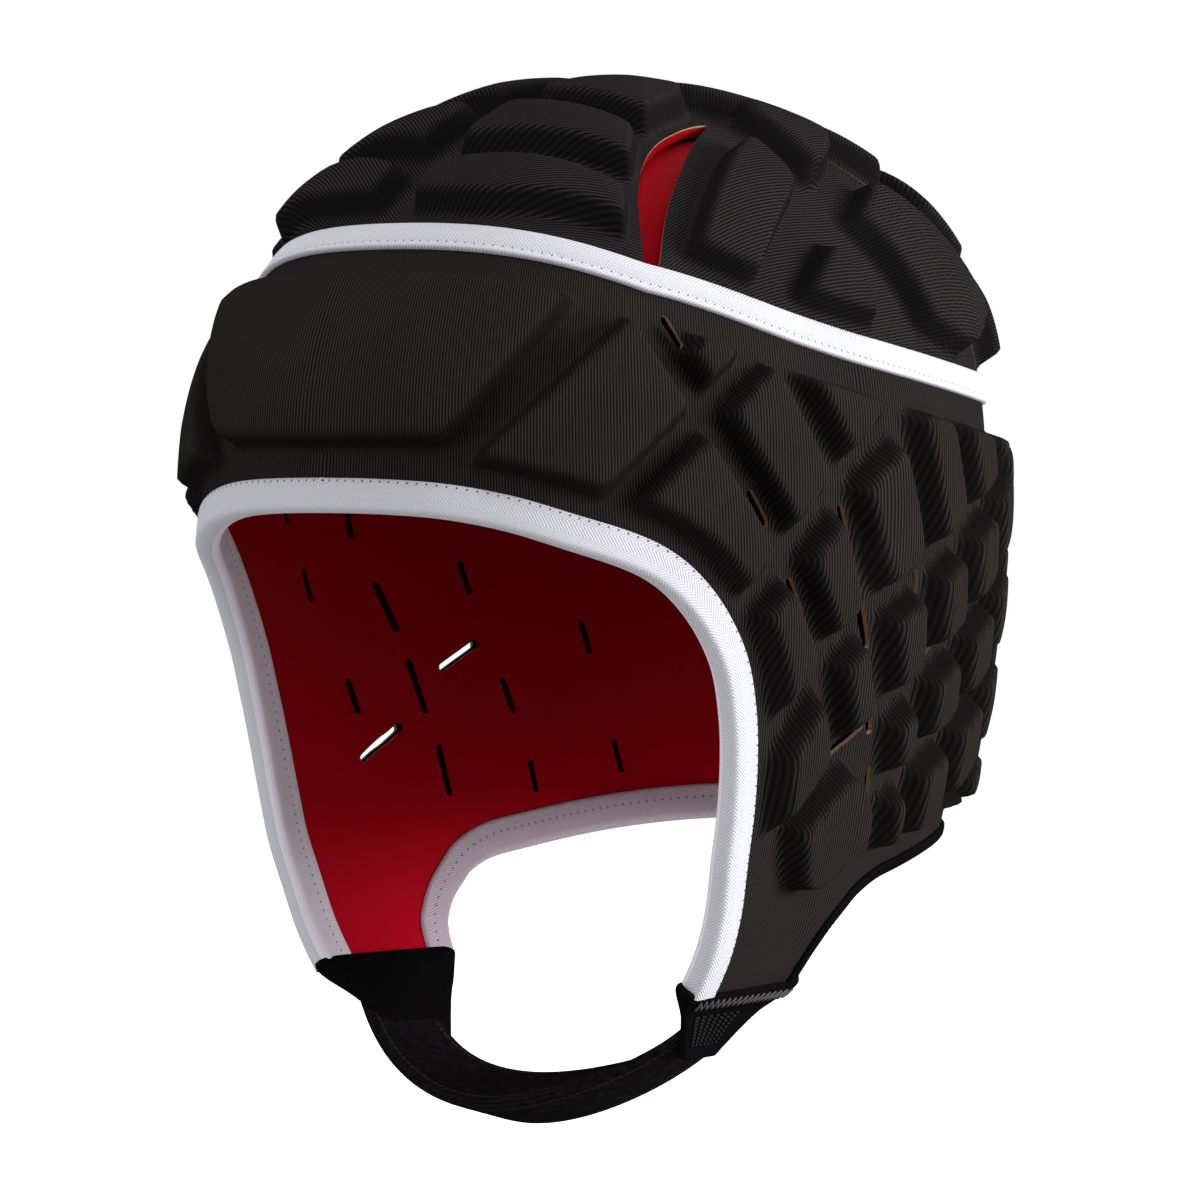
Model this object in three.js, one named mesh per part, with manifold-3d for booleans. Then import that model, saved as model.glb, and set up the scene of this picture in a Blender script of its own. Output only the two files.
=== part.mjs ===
// Rugby scrum cap: a padded head guard of moulded foam blocks with a red lining and a chin strap.
// Millimetres, +Z up, face towards -Y, the wearer's left on +X. The origin is the inside of the
// crown, where the top of a head meets the lining.
import * as THREE from 'three';
import { mergeVertices } from 'three/addons/utils/BufferGeometryUtils.js';
import Module from 'manifold-3d';

// The head form, measured on the outside of the foam at the bottom of the grooves
const capDepth = 214;
const halfWidth = 78.5;
const frontReach = 102;
const backReach = 109;
const roundness = 2.25;

// Cloth, foam and tapes
const foamWall = 2.7;
const liningWall = 1;
const clearance = 0.3;
const padHeight = 7;
const padSlope = 2.2;
const grooveWidth = 3;
const seamTapeWidth = 7.5;
const tapeThickness = 0.8;
const tapeGap = 0.75;
const tapeInsideGap = 1.15;
const tapeLean = 0.9;
const edgeTapeOutside = 6.5;
const edgeTapeInside = 8;
const hemOutside = 2.4;
const hemInside = 7;

// Plain bands that stay free of pads
const seamBand = 10.5;
const faceBand = 9.8;
const napeBand = 9.5;
const midlineBand = 3.5;
const minimumPadArea = 60;
const minimumPadDepth = 2.6;

// Vent slots, darts and the chin strap
const slotWidth = 2.6;
const slotLength = 9.5;
const longSlotLength = 14.5;
const dartWidth = 9;
const strapWidth = 22;
const strapThickness = 2.6;
const strapDrop = 32;
const strapTilt = 15;
const tabLength = 14;

// How finely the curved walls are divided
const segmentsRound = 32;
const crownRings = 5;
const sideRings = 7;
const edgeSegments = 36;
const strapSegments = 20;
const longestPadEdge = 40;
const ringSpacing = 12;

const sunkFoot = foamWall * 0.7;
const wallTotal = foamWall + clearance + liningWall;
const headTop = wallTotal;

// Sections of the head form, one every 15 steps of station, from the crown down: how far below
// the top, and the half width, front reach and back reach as shares of their named sizes.
// Flare widens the front of a section, where the cheek flaps stand out.
const stationStep = 15;
const sections = [
  { drop: 0, half: 0, front: 0, back: 0, flare: 0 },
  { drop: 0.012, half: 0.28, front: 0.245, back: 0.294, flare: 0 },
  { drop: 0.053, half: 0.541, front: 0.485, back: 0.573, flare: 0 },
  { drop: 0.117, half: 0.752, front: 0.686, back: 0.789, flare: 0 },
  { drop: 0.203, half: 0.898, front: 0.853, back: 0.922, flare: 0 },
  { drop: 0.306, half: 0.975, front: 0.951, back: 0.982, flare: 0.02 },
  { drop: 0.416, half: 1, front: 0.99, back: 1, flare: 0.06 },
  { drop: 0.533, half: 0.994, front: 1, back: 0.986, flare: 0.15 },
  { drop: 0.64, half: 0.962, front: 1, back: 0.972, flare: 0.27 },
  { drop: 0.752, half: 0.904, front: 0.98, back: 0.95, flare: 0.38 },
  { drop: 0.85, half: 0.834, front: 0.951, back: 0.927, flare: 0.47 },
  { drop: 0.93, half: 0.758, front: 0.902, back: 0.899, flare: 0.52 },
  { drop: 1, half: 0.65, front: 0.863, back: 0.872, flare: 0.55 },
];

// The seam between crown and side panel, seen from the side
const seamLine = [
  { reach: -1, drop: 0.147 },
  { reach: -0.775, drop: 0.159 },
  { reach: -0.55, drop: 0.205 },
  { reach: -0.2, drop: 0.257 },
  { reach: 0.165, drop: 0.29 },
  { reach: 0.55, drop: 0.313 },
  { reach: 1, drop: 0.322 },
];

// The edge of the face opening, from the middle of the brow to the foot of the cheek flap
const faceLine = [
  { reach: -1, drop: 0.446 },
  { reach: -0.95, drop: 0.452 },
  { reach: -0.882, drop: 0.465 },
  { reach: -0.804, drop: 0.483 },
  { reach: -0.652, drop: 0.515 },
  { reach: -0.554, drop: 0.556 },
  { reach: -0.478, drop: 0.612 },
  { reach: -0.44, drop: 0.668 },
  { reach: -0.419, drop: 0.72 },
  { reach: -0.406, drop: 0.776 },
  { reach: -0.397, drop: 0.832 },
  { reach: -0.377, drop: 0.893 },
  { reach: -0.363, drop: 0.977 },
];

// The lower edge, from the back of the cheek flap up to the middle of the nape
const napeLine = [
  { reach: 0.037, drop: 0.977 },
  { reach: 0.058, drop: 0.944 },
  { reach: 0.096, drop: 0.916 },
  { reach: 0.147, drop: 0.893 },
  { reach: 0.19, drop: 0.877 },
  { reach: 0.266, drop: 0.862 },
  { reach: 0.367, drop: 0.853 },
  { reach: 0.587, drop: 0.836 },
  { reach: 0.78, drop: 0.825 },
  { reach: 0.935, drop: 0.82 },
];

// Grooves of the side panel that fall towards the nape: the angle from the front at four drops
const fallingDrops = [0.276, 0.439, 0.593, 0.766];
const fallingGrooves = [
  { name: 'face', angles: [0, 0, 0, 0] },
  { name: 'A', angles: [54, 70, 81, 88] },
  { name: 'B', angles: [73, 85.5, 91, 96.5] },
  { name: 'C', angles: [91, 99.5, 101.5, 104] },
  { name: 'D', angles: [104, 110, 112.5, 116] },
  { name: 'E', angles: [117, 122, 126, 130.5] },
  { name: 'F', angles: [130, 135, 139, 144] },
  { name: 'G', angles: [143.5, 149, 152.5, 157] },
  { name: 'H', angles: [157, 162, 166, 170] },
  { name: 'I', angles: [170.5, 175.5, 179.5, 183.5] },
];

// Grooves that rise towards the back: the drop at six angles from the front
const risingAngles = [45, 75, 90, 105, 135, 165];
const risingGrooves = [
  { name: 'seam', drops: [0, 0, 0, 0, 0, 0] },
  { name: '1', drops: [0.257, 0.065, 0, 0, 0, 0] },
  { name: '2', drops: [0.453, 0.257, 0.154, 0.05, 0, 0] },
  { name: '3', drops: [0.687, 0.495, 0.379, 0.276, 0.089, 0] },
  { name: '4', drops: [0.883, 0.654, 0.561, 0.495, 0.379, 0.262] },
  { name: '5', drops: [1, 0.79, 0.701, 0.614, 0.495, 0.379] },
  { name: '6', drops: [1.1, 0.893, 0.794, 0.724, 0.612, 0.495] },
  { name: '7', drops: [1.2, 1, 0.907, 0.841, 0.729, 0.612] },
  { name: '8', drops: [1.3, 1.1, 1.02, 0.958, 0.846, 0.729] },
  { name: '9', drops: [1.4, 1.2, 1.12, 1.07, 0.963, 0.846] },
];

// The lowest pad of the cheek flap is wider than one cell of the grooves, which end above it
const flapPad = [
  { angle: 77.7, drop: 0.79 },
  { angle: 89, drop: 0.715 },
  { angle: 94.6, drop: 0.762 },
  { angle: 95.6, drop: 0.818 },
  { angle: 87.2, drop: 0.869 },
  { angle: 81.6, drop: 0.865 },
];
const flapPadColumns = ['face', 'A'];
const flapPadRow = '5';
const lowestPadDrop = 0.869;

// Vent slots at the crossings of the grooves, as an angle, a drop and a tilt from upright
const ventSlots = [
  { angle: 57, drop: 0.262, tilt: 35, long: false },
  { angle: 74, drop: 0.449, tilt: 20, long: false },
  { angle: 87.5, drop: 0.467, tilt: 13, long: false },
  { angle: 79.5, drop: 0.543, tilt: 20, long: false },
  { angle: 106, drop: 0.54, tilt: 16, long: false },
  { angle: 92.5, drop: 0.573, tilt: 20, long: true },
  { angle: 103.8, drop: 0.632, tilt: -60, long: true },
  { angle: 96, drop: 0.666, tilt: 12, long: true },
  { angle: 86.5, drop: 0.675, tilt: 12, long: false },
  { angle: 111.5, drop: 0.681, tilt: 14, long: false },
  { angle: 127, drop: 0.614, tilt: 13, long: false },
  { angle: 89.6, drop: 0.73, tilt: -52, long: true },
  { angle: 98.4, drop: 0.766, tilt: 3, long: true },
  { angle: 114, drop: 0.778, tilt: 3, long: false },
  { angle: 131, drop: 0.757, tilt: 10, long: false },
];

// Crown pads in plan, as shares of the half width and the front reach; each is mirrored
const crownPads = [
  { name: 'brow', at: [[0.06, -0.745], [0.3, -0.71], [0.67, -0.545], [0.6, -0.47], [0.06, -0.62]] },
  { name: 'front', at: [[0.06, -0.585], [0.58, -0.435], [0.475, -0.31], [0.06, -0.36]] },
  { name: 'top', at: [[0.06, -0.32], [0.46, -0.27], [0.39, -0.05], [0.25, 0.09], [0.06, 0.05]] },
  { name: 'temple', at: [[0.535, -0.02], [0.64, -0.24], [0.765, -0.46], [0.88, -0.31], [0.75, 0]] },
  { name: 'above ear', at: [[0.83, -0.02], [0.905, -0.22], [0.96, -0.05], [0.96, 0.11], [0.915, 0.08]] },
  { name: 'side top', at: [[0.43, 0.06], [0.74, 0.04], [0.62, 0.26], [0.44, 0.43], [0.25, 0.22]] },
  { name: 'behind ear', at: [[0.66, 0.29], [0.8, 0.07], [0.93, 0.26], [0.9, 0.46], [0.75, 0.68]] },
  { name: 'rear top', at: [[0.06, 0.11], [0.19, 0.15], [0.37, 0.38], [0.06, 0.44]] },
  { name: 'rear', at: [[0.06, 0.48], [0.39, 0.42], [0.55, 0.57], [0.06, 0.68]] },
  { name: 'rear low', at: [[0.06, 0.72], [0.58, 0.61], [0.66, 0.72], [0.06, 0.9]] },
  { name: 'nape', at: [[0.06, 0.93], [0.67, 0.75], [0.7, 0.8], [0.06, 0.99]] },
];

// Darts between the petals of the crown, from the seam to the pointed end
const darts = [
  { name: 'front', at: [[0.77, -0.56], [0.64, -0.43], [0.555, -0.3], [0.49, -0.17], [0.41, 0]], width: 1 },
  { name: 'rear', at: [[0.79, 0.76], [0.64, 0.6], [0.51, 0.49], [0.38, 0.38]], width: 0.3 },
];

// The broad pad on the forehead: half its span at the top and at the bottom, as angles
const foreheadPad = { topAngle: 38, bottomAngle: 19, bottomDrop: 0.39 };

const wasm = await Module();
wasm.setup();

const degree = Math.PI / 180;
const stationCount = (sections.length - 1) * stationStep;
const mmPerDegree = (halfWidth + frontReach + backReach) / 3 * degree;
const mmPerStation = capDepth / stationCount * 1.35;

// One row between the sections, by a Catmull-Rom curve; it goes on straight past the last
function sectionAt(station) {
  const place = station / stationStep;
  const index = Math.min(Math.max(Math.floor(place), 0), sections.length - 2);
  const t = place - index;
  const mirrored = {
    drop: sections[1].drop,
    half: -sections[1].half,
    front: -sections[1].front,
    back: -sections[1].back,
    flare: 0,
  };
  const last = sections.length - 1;
  const row = {};
  for (const key of Object.keys(sections[0])) {
    const before = index === 0 ? mirrored[key] : sections[index - 1][key];
    const a = sections[index][key];
    const b = sections[index + 1][key];
    const after = index + 2 > last ? 2 * b - a : sections[index + 2][key];
    if (t > 1) {
      row[key] = b + (b - a) * (t - 1);
      continue;
    }
    const slope = (b - before) * t;
    const bend = (2 * before - 5 * a + 4 * b - after) * t * t;
    const twist = (3 * a - before - 3 * b + after) * t * t * t;
    row[key] = 0.5 * (2 * a + slope + bend + twist);
  }
  return row;
}

function heightAt(station) {
  return headTop - sectionAt(station).drop * capDepth;
}

// A point of the head form: the angle runs from the front towards the wearer's left
function formPoint(angle, station) {
  const row = sectionAt(station);
  const sine = Math.sin(angle * degree);
  const cosine = Math.cos(angle * degree);
  const power = 2 / roundness;
  const spread = 1 + row.flare * (cosine + cosine * cosine) / 2;
  const reach = cosine > 0 ? -row.front * frontReach : row.back * backReach;
  const x = row.half * halfWidth * Math.sign(sine) * Math.abs(sine) ** power * spread;
  const y = reach * Math.abs(cosine) ** power;
  return new THREE.Vector3(x, y, headTop - row.drop * capDepth);
}

function formNormal(angle, station) {
  const step = 0.4;
  if (station < step) {
    return new THREE.Vector3(0, 0, 1);
  }
  const across = formPoint(angle + step, station).sub(formPoint(angle - step, station));
  const down = formPoint(angle, station + step).sub(formPoint(angle, station - step));
  return down.cross(across).normalize();
}

// A point raised off the form by lift
function raised(angle, station, lift) {
  return formPoint(angle, station).addScaledVector(formNormal(angle, station), lift);
}

// The argument at which a function that rises passes zero
function solve(low, high, value) {
  let from = low;
  let to = high;
  for (let step = 0; step < 40; step += 1) {
    const middle = (from + to) / 2;
    if (value(middle) > 0) {
      to = middle;
    } else {
      from = middle;
    }
  }
  return (from + to) / 2;
}

function stationOfDrop(drop) {
  return solve(0, stationCount * 1.3, (station) => sectionAt(station).drop - drop);
}

// A smooth value read off a table by its position along the named column
function readTable(rows, column, wanted, value) {
  const last = rows.length - 1;
  const index = rows.findIndex((row, i) => i === last - 1 || rows[i + 1][column] > wanted);
  const a = rows[index];
  const b = rows[index + 1];
  const t = Math.min(Math.max((wanted - a[column]) / (b[column] - a[column]), 0), 1);
  const before = rows[Math.max(index - 1, 0)][value];
  const after = rows[Math.min(index + 2, last)][value];
  const curve = new THREE.CubicBezierCurve(
    new THREE.Vector2(0, a[value]),
    new THREE.Vector2(0, a[value] + (b[value] - before) / 6),
    new THREE.Vector2(0, b[value] - (after - a[value]) / 6),
    new THREE.Vector2(0, b[value]),
  );
  return curve.getPoint(t).y;
}

function reachShare(y) {
  return y < 0 ? y / frontReach : y / backReach;
}

// The station of the crown seam at an angle
function seamStation(angle) {
  return solve(stationStep, stationCount / 2, (station) => {
    const share = reachShare(formPoint(angle, station).y);
    return sectionAt(station).drop - readTable(seamLine, 'reach', share, 'drop');
  });
}

// The angle on the wearer's left at which a section has a given reach
function angleOfReach(share, station) {
  const row = sectionAt(station);
  const limit = share < 0 ? row.front : row.back;
  const cosine = -Math.sign(share) * Math.min(Math.abs(share / limit), 1) ** (roundness / 2);
  return Math.acos(cosine) / degree;
}

// The edge of an opening, from the middle of the cap at 0 to the flap at 1 and, mirrored, at -1
function edgeAt(line, place) {
  const points = line.map((row) => new THREE.Vector2(row.reach, row.drop));
  const point = new THREE.SplineCurve(points).getPoint(Math.abs(place));
  const station = stationOfDrop(point.y);
  const angle = angleOfReach(point.x, station);
  return { angle, station };
}

const faceEdge = (place) => {
  const edge = edgeAt(faceLine, place);
  return { angle: Math.abs(place) < 1e-6 ? 0 : edge.angle * Math.sign(place), station: edge.station };
};

const napeEdge = (place) => {
  const edge = edgeAt([...napeLine].reverse(), place);
  const turned = 180 - edge.angle;
  return { angle: 180 - turned * Math.sign(place), station: edge.station };
};

// A closed body from rows of points on its outside and its inside
function bodyBetween(outer, inner, closedRound) {
  const rows = outer.length;
  const columns = outer[0].length;
  const positions = [...outer.flat(), ...inner.flat()].flatMap((point) => point.toArray());
  const triangles = [];
  const at = (row, column, layer) => layer * rows * columns + row * columns + column % columns;
  const quad = (a, b, c, d) => triangles.push(a, b, c, a, c, d);
  const steps = closedRound ? columns : columns - 1;
  for (let row = 0; row < rows - 1; row += 1) {
    for (let column = 0; column < steps; column += 1) {
      const next = column + 1;
      quad(at(row, column, 0), at(row + 1, column, 0), at(row + 1, next, 0), at(row, next, 0));
      quad(at(row, column, 1), at(row, next, 1), at(row + 1, next, 1), at(row + 1, column, 1));
    }
  }
  for (let column = 0; column < steps; column += 1) {
    const next = column + 1;
    const end = rows - 1;
    quad(at(0, column, 1), at(0, column, 0), at(0, next, 0), at(0, next, 1));
    quad(at(end, column, 0), at(end, column, 1), at(end, next, 1), at(end, next, 0));
  }
  if (!closedRound) {
    const side = columns - 1;
    for (let row = 0; row < rows - 1; row += 1) {
      quad(at(row, 0, 0), at(row, 0, 1), at(row + 1, 0, 1), at(row + 1, 0, 0));
      quad(at(row, side, 1), at(row, side, 0), at(row + 1, side, 0), at(row + 1, side, 1));
    }
  }
  return solidFrom(positions, triangles);
}

// A solid from loose triangles, faces outward: shared corners are merged and slivers dropped
function solidFrom(positions, triangles) {
  const raw = new THREE.BufferGeometry();
  raw.setAttribute('position', new THREE.Float32BufferAttribute(positions, 3));
  raw.setIndex(triangles);
  const merged = mergeVertices(raw, 1e-4);
  const index = merged.index.array;
  const kept = [];
  for (let i = 0; i < index.length; i += 3) {
    const [a, b, c] = [index[i], index[i + 1], index[i + 2]];
    if (a !== b && b !== c && a !== c) {
      kept.push(a, b, c);
    }
  }
  const vertProperties = new Float32Array(merged.attributes.position.array);
  const solidOf = (corners) => (
    new wasm.Manifold(new wasm.Mesh({ numProp: 3, vertProperties, triVerts: new Uint32Array(corners) }))
  );
  const solid = solidOf(kept);
  return solid.volume() < 0 ? solidOf(kept.reverse()) : solid;
}

function geometryOf(solid) {
  const mesh = solid.getMesh();
  const geometry = new THREE.BufferGeometry();
  geometry.setAttribute('position', new THREE.BufferAttribute(mesh.vertProperties, 3));
  geometry.setIndex(new THREE.BufferAttribute(mesh.triVerts, 1));
  geometry.computeVertexNormals();
  return geometry;
}

// Even steps from one value to another, both ends included
function stepsBetween(from, to, count) {
  return Array.from({ length: count + 1 }, (_, i) => from + (to - from) * i / count);
}

// A ring of the wall between two stations that may change with the angle
function wallRing(topStation, bottomStation, rings, lowLift, highLift) {
  const angles = stepsBetween(0, 360, segmentsRound).slice(0, -1);
  const layer = (lift) => stepsBetween(0, 1, rings).map((share) => angles.map((angle) => {
    const top = topStation(angle);
    return raised(angle, top + (bottomStation(angle) - top) * share, lift);
  }));
  return bodyBetween(layer(highLift), layer(lowLift), true);
}

// The part of the wall that an opening takes away, between its edge and a line past the cap's foot
function openingCutter(edge, footAngle) {
  const footStation = stationCount * 1.16;
  const across = stepsBetween(0, 1, 5);
  const overrun = 0.06;
  const along = [-1 - overrun, ...evenPlaces(edge), 1 + overrun];
  const layer = (lift) => across.map((share) => along.map((place) => {
    const held = edge(Math.max(-1, Math.min(1, place)));
    const past = Math.max(Math.abs(place) - 1, 0) * stationCount;
    const start = held.station + past;
    const foot = footAngle(held.angle);
    return raised(held.angle + (foot - held.angle) * share, start + (footStation - start) * share, lift);
  }));
  return bodyBetween(layer(padHeight * 1.5), layer(-wallTotal * 2), false);
}

const faceCutter = () => openingCutter(faceEdge, (angle) => angle * 0.6);
const napeCutter = () => openingCutter(napeEdge, (angle) => 180 + (angle - 180) * 0.85);

// Pads are drawn flat, in millimetres round the cap and down it, then laid on the form
const sideForm = {
  toFlat: (angle, station) => [angle * mmPerDegree, station * mmPerStation],
  toForm: ([u, v]) => ({ angle: u / mmPerDegree, station: v / mmPerStation }),
};

const crownForm = {
  toForm: ([x, y]) => {
    const share = Math.abs(y) / (y < 0 ? frontReach : backReach);
    const station = solve(0.5, stationCount / 2, (at) => {
      const row = sectionAt(at);
      const reach = y < 0 ? row.front : row.back;
      return 1 - Math.abs(x / halfWidth / row.half) ** roundness - (share / reach) ** roundness;
    });
    const row = sectionAt(station);
    const sine = Math.abs(x / halfWidth / row.half) ** (roundness / 2);
    const cosine = (share / (y < 0 ? row.front : row.back)) ** (roundness / 2);
    return { angle: Math.atan2(sine * Math.sign(x), -cosine * Math.sign(y)) / degree, station };
  },
};

// The part of a flat outline on which a value is positive
function clipOutline(outline, value) {
  const kept = [];
  outline.forEach((point, i) => {
    const next = outline[(i + 1) % outline.length];
    const here = value(point);
    const there = value(next);
    if (here >= 0) {
      kept.push(point);
    }
    if (here * there < 0) {
      const t = here / (here - there);
      kept.push([point[0] + (next[0] - point[0]) * t, point[1] + (next[1] - point[1]) * t]);
    }
  });
  return kept;
}

function outlineArea(outline) {
  return outline.reduce((sum, point, i) => {
    const next = outline[(i + 1) % outline.length];
    return sum + (point[0] * next[1] - next[0] * point[1]) / 2;
  }, 0);
}

function outlineCentre(outline) {
  const sum = outline.reduce((total, point) => [total[0] + point[0], total[1] + point[1]], [0, 0]);
  return sum.map((value) => value / outline.length);
}

// How far a point lies inside each side of a convex outline
function depthsInside(outline, point) {
  const turn = Math.sign(outlineArea(outline));
  return outline.map((corner, i) => {
    const next = outline[(i + 1) % outline.length];
    const length = Math.hypot(next[0] - corner[0], next[1] - corner[1]);
    const cross = (next[0] - corner[0]) * (point[1] - corner[1]) - (next[1] - corner[1]) * (point[0] - corner[0]);
    return turn * cross / length;
  });
}

function insetOutline(outline, distance) {
  let result = outline;
  outline.forEach((corner, i) => {
    result = clipOutline(result, (point) => depthsInside(outline, point)[i] - distance);
  });
  return result;
}

function dividedOutline(outline, longest) {
  return outline.flatMap((point, i) => {
    const next = outline[(i + 1) % outline.length];
    const length = Math.hypot(next[0] - point[0], next[1] - point[1]);
    const count = Math.max(1, Math.round(length / longest));
    return stepsBetween(0, 1, count).slice(0, -1)
      .map((t) => [point[0] + (next[0] - point[0]) * t, point[1] + (next[1] - point[1]) * t]);
  });
}

// One foam block: its foot is sunk in the wall, its sides slope in and its top is crowned.
// A wide block has rings of points inside its rim, so that it follows the curve of the head.
function padBlock(outline, form) {
  const turned = outlineArea(outline) > 0 ? outline : [...outline].reverse();
  const centre = outlineCentre(turned);
  const inside = Math.min(...depthsInside(turned, centre));
  const shrink = Math.max(1 - padSlope / inside, 0.4);
  const ringCount = Math.max(1, Math.round(inside / ringSpacing));
  const rim = dividedOutline(turned, ringCount > 1 ? ringSpacing * 2 : longestPadEdge);
  const ring = (scale, lift) => rim.map((point) => {
    const place = form.toForm(point.map((value, i) => centre[i] + (value - centre[i]) * scale));
    return raised(place.angle, place.station, lift);
  });
  const scales = stepsBetween(1, 0, ringCount).slice(0, -1);
  const foot = scales.map((scale) => ring(scale, -sunkFoot)).reverse();
  const crest = scales.map((scale) => ring(shrink * scale, padHeight * (1.06 - 0.06 * scale)));
  const top = form.toForm(centre);
  const middles = [-sunkFoot, padHeight * 1.06].map((lift) => raised(top.angle, top.station, lift));
  const rings = [...foot, ...crest];
  const count = rim.length;
  const positions = [...rings.flat(), ...middles].flatMap((point) => point.toArray());
  const [rootIndex, lastRing] = [rings.length * count, (rings.length - 1) * count];
  const triangles = [];
  for (let i = 0; i < count; i += 1) {
    const next = (i + 1) % count;
    for (let low = 0; low < lastRing; low += count) {
      const high = low + count;
      triangles.push(low + i, low + next, high + next, low + i, high + next, high + i);
    }
    if (ringCount > 1) {
      triangles.push(lastRing + i, lastRing + next, rootIndex + 1, next, i, rootIndex);
    } else if (i > 0 && i < count - 1) {
      triangles.push(lastRing, lastRing + i, lastRing + next, 0, next, i);
    }
  }
  return solidFrom(positions, triangles);
}

// Where a falling and a rising groove cross
function crossing(falling, rising) {
  const fallingRows = fallingDrops.map((drop, i) => ({ drop, angle: falling.angles[i] }));
  const risingRows = risingAngles.map((angle, i) => ({ angle, drop: rising.drops[i] }));
  let drop = 0.5;
  let angle = 90;
  for (let step = 0; step < 30; step += 1) {
    angle = stretchTable(fallingRows, 'drop', drop, 'angle');
    drop = (drop + stretchTable(risingRows, 'angle', angle, 'drop')) / 2;
  }
  return sideForm.toFlat(angle, stationOfDrop(drop));
}

// A table read by straight lines, which go on past both ends
function stretchTable(rows, column, wanted, value) {
  const last = rows.length - 2;
  const found = rows.findIndex((row, i) => i === last || rows[i + 1][column] > wanted);
  const a = rows[found];
  const b = rows[found + 1];
  return a[value] + (b[value] - a[value]) * (wanted - a[column]) / (b[column] - a[column]);
}

// Distance from a flat point to the edge of an opening, positive on the cloth
function distanceToEdge(line, point) {
  let nearest = Infinity;
  for (const edge of line) {
    nearest = Math.min(nearest, Math.hypot(point[0] - edge[0], point[1] - edge[1]));
  }
  return nearest;
}

const flatLine = (edge) => stepsBetween(0, 1, 60).map((place) => {
  const at = edge(place);
  return sideForm.toFlat(at.angle, at.station);
});

// Whether a flat point is on the cloth side of both openings
function onCloth(point) {
  const { angle, station } = sideForm.toForm(point);
  const spot = formPoint(angle, Math.min(station, stationCount * 1.2));
  const share = reachShare(spot.y);
  const drop = sectionAt(station).drop;
  const faceRow = faceLine.find((row) => row.drop > drop) ?? faceLine[faceLine.length - 1];
  const beforeFace = drop > faceLine[0].drop && share < faceRow.reach;
  const napeDrop = stretchTable(napeLine, 'reach', share, 'drop');
  const belowNape = share > napeLine[0].reach && drop > napeDrop;
  return !beforeFace && !belowNape;
}

function sidePadOutlines() {
  const faceFlat = flatLine(faceEdge);
  const napeFlat = flatLine(napeEdge);
  const flapRow = risingGrooves.findIndex((row) => row.name === flapPadRow);
  const cells = [];
  for (let left = 0; left < fallingGrooves.length - 1; left += 1) {
    for (let upper = 0; upper < risingGrooves.length - 1; upper += 1) {
      const foreheadCell = left === 0 && upper === 0;
      const flapCell = flapPadColumns.includes(fallingGrooves[left].name) && upper >= flapRow;
      if (!flapCell && !foreheadCell) {
        cells.push({ left, right: left + 1, upper, lower: upper + 1 });
      }
    }
  }
  const outlines = cells.map((cell) => {
    const corners = [
      crossing(fallingGrooves[cell.left], risingGrooves[cell.upper]),
      crossing(fallingGrooves[cell.right], risingGrooves[cell.upper]),
      crossing(fallingGrooves[cell.right], risingGrooves[cell.lower]),
      crossing(fallingGrooves[cell.left], risingGrooves[cell.lower]),
    ];
    return trimmedToBands(insetOutline(corners, grooveWidth / 2), faceFlat, napeFlat);
  });
  return outlines.filter((outline) => {
    if (outline.length < 3 || Math.abs(outlineArea(outline)) < minimumPadArea) {
      return false;
    }
    return Math.min(...depthsInside(outline, outlineCentre(outline))) > minimumPadDepth;
  });
}

// An outline held clear of the seam, the face edge, the lower edge and the middle of the back
function trimmedToBands(outline, faceFlat, napeFlat) {
  const side = (line, band) => (point) => {
    const sign = onCloth(point) ? 1 : -1;
    return sign * distanceToEdge(line, point) - band;
  };
  let result = clipOutline(outline, (point) => {
    const { angle } = sideForm.toForm(point);
    return point[1] - (seamStation(angle) * mmPerStation + seamBand);
  });
  result = clipOutline(result, (point) => sideForm.toFlat(180, 0)[0] - midlineBand - point[0]);
  result = clipOutline(result, (point) => stationOfDrop(lowestPadDrop) * mmPerStation - point[1]);
  for (const [line, band] of [[faceFlat, faceBand], [napeFlat, napeBand]]) {
    if (result.length > 2) {
      result = clipOutline(finely(result), side(line, band));
    }
  }
  return result;
}

// More points along an outline, so that a cut by a curved band follows it
function finely(outline) {
  return outline.flatMap((point, i) => {
    const next = outline[(i + 1) % outline.length];
    return [0, 0.25, 0.5, 0.75].map((t) => [point[0] + (next[0] - point[0]) * t, point[1] + (next[1] - point[1]) * t]);
  });
}

// Points that lie on a straight run of an outline are dropped
function withoutStraights(outline) {
  return outline.filter((point, i) => {
    const before = outline[(i + outline.length - 1) % outline.length];
    const next = outline[(i + 1) % outline.length];
    const [ax, ay] = [point[0] - before[0], point[1] - before[1]];
    const [bx, by] = [next[0] - point[0], next[1] - point[1]];
    const lengths = Math.hypot(ax, ay) * Math.hypot(bx, by);
    return lengths > 1e-6 && Math.abs(ax * by - ay * bx) / lengths > 0.2;
  });
}

const mirroredOutline = (outline, middle) => outline.map(([u, v]) => [2 * middle - u, v]).reverse();

function sidePads() {
  const flap = flapPad.map((row) => sideForm.toFlat(row.angle, stationOfDrop(row.drop)));
  const outlines = [...sidePadOutlines().map(withoutStraights), flap];
  const blocks = [];
  outlines.forEach((outline) => {
    blocks.push(padBlock(outline, sideForm));
    blocks.push(padBlock(mirroredOutline(outline, 0), sideForm));
  });
  const [topV, bottomV] = [
    seamStation(0) * mmPerStation + seamBand,
    stationOfDrop(foreheadPad.bottomDrop) * mmPerStation,
  ];
  const topDip = seamStation(foreheadPad.topAngle) * mmPerStation + seamBand;
  const [topU, bottomU] = [foreheadPad.topAngle, foreheadPad.bottomAngle].map((a) => a * mmPerDegree);
  const forehead = [[-topU, topDip], [0, topV], [topU, topDip], [bottomU, bottomV], [-bottomU, bottomV]];
  blocks.push(padBlock(forehead, sideForm));
  return blocks;
}

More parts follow.
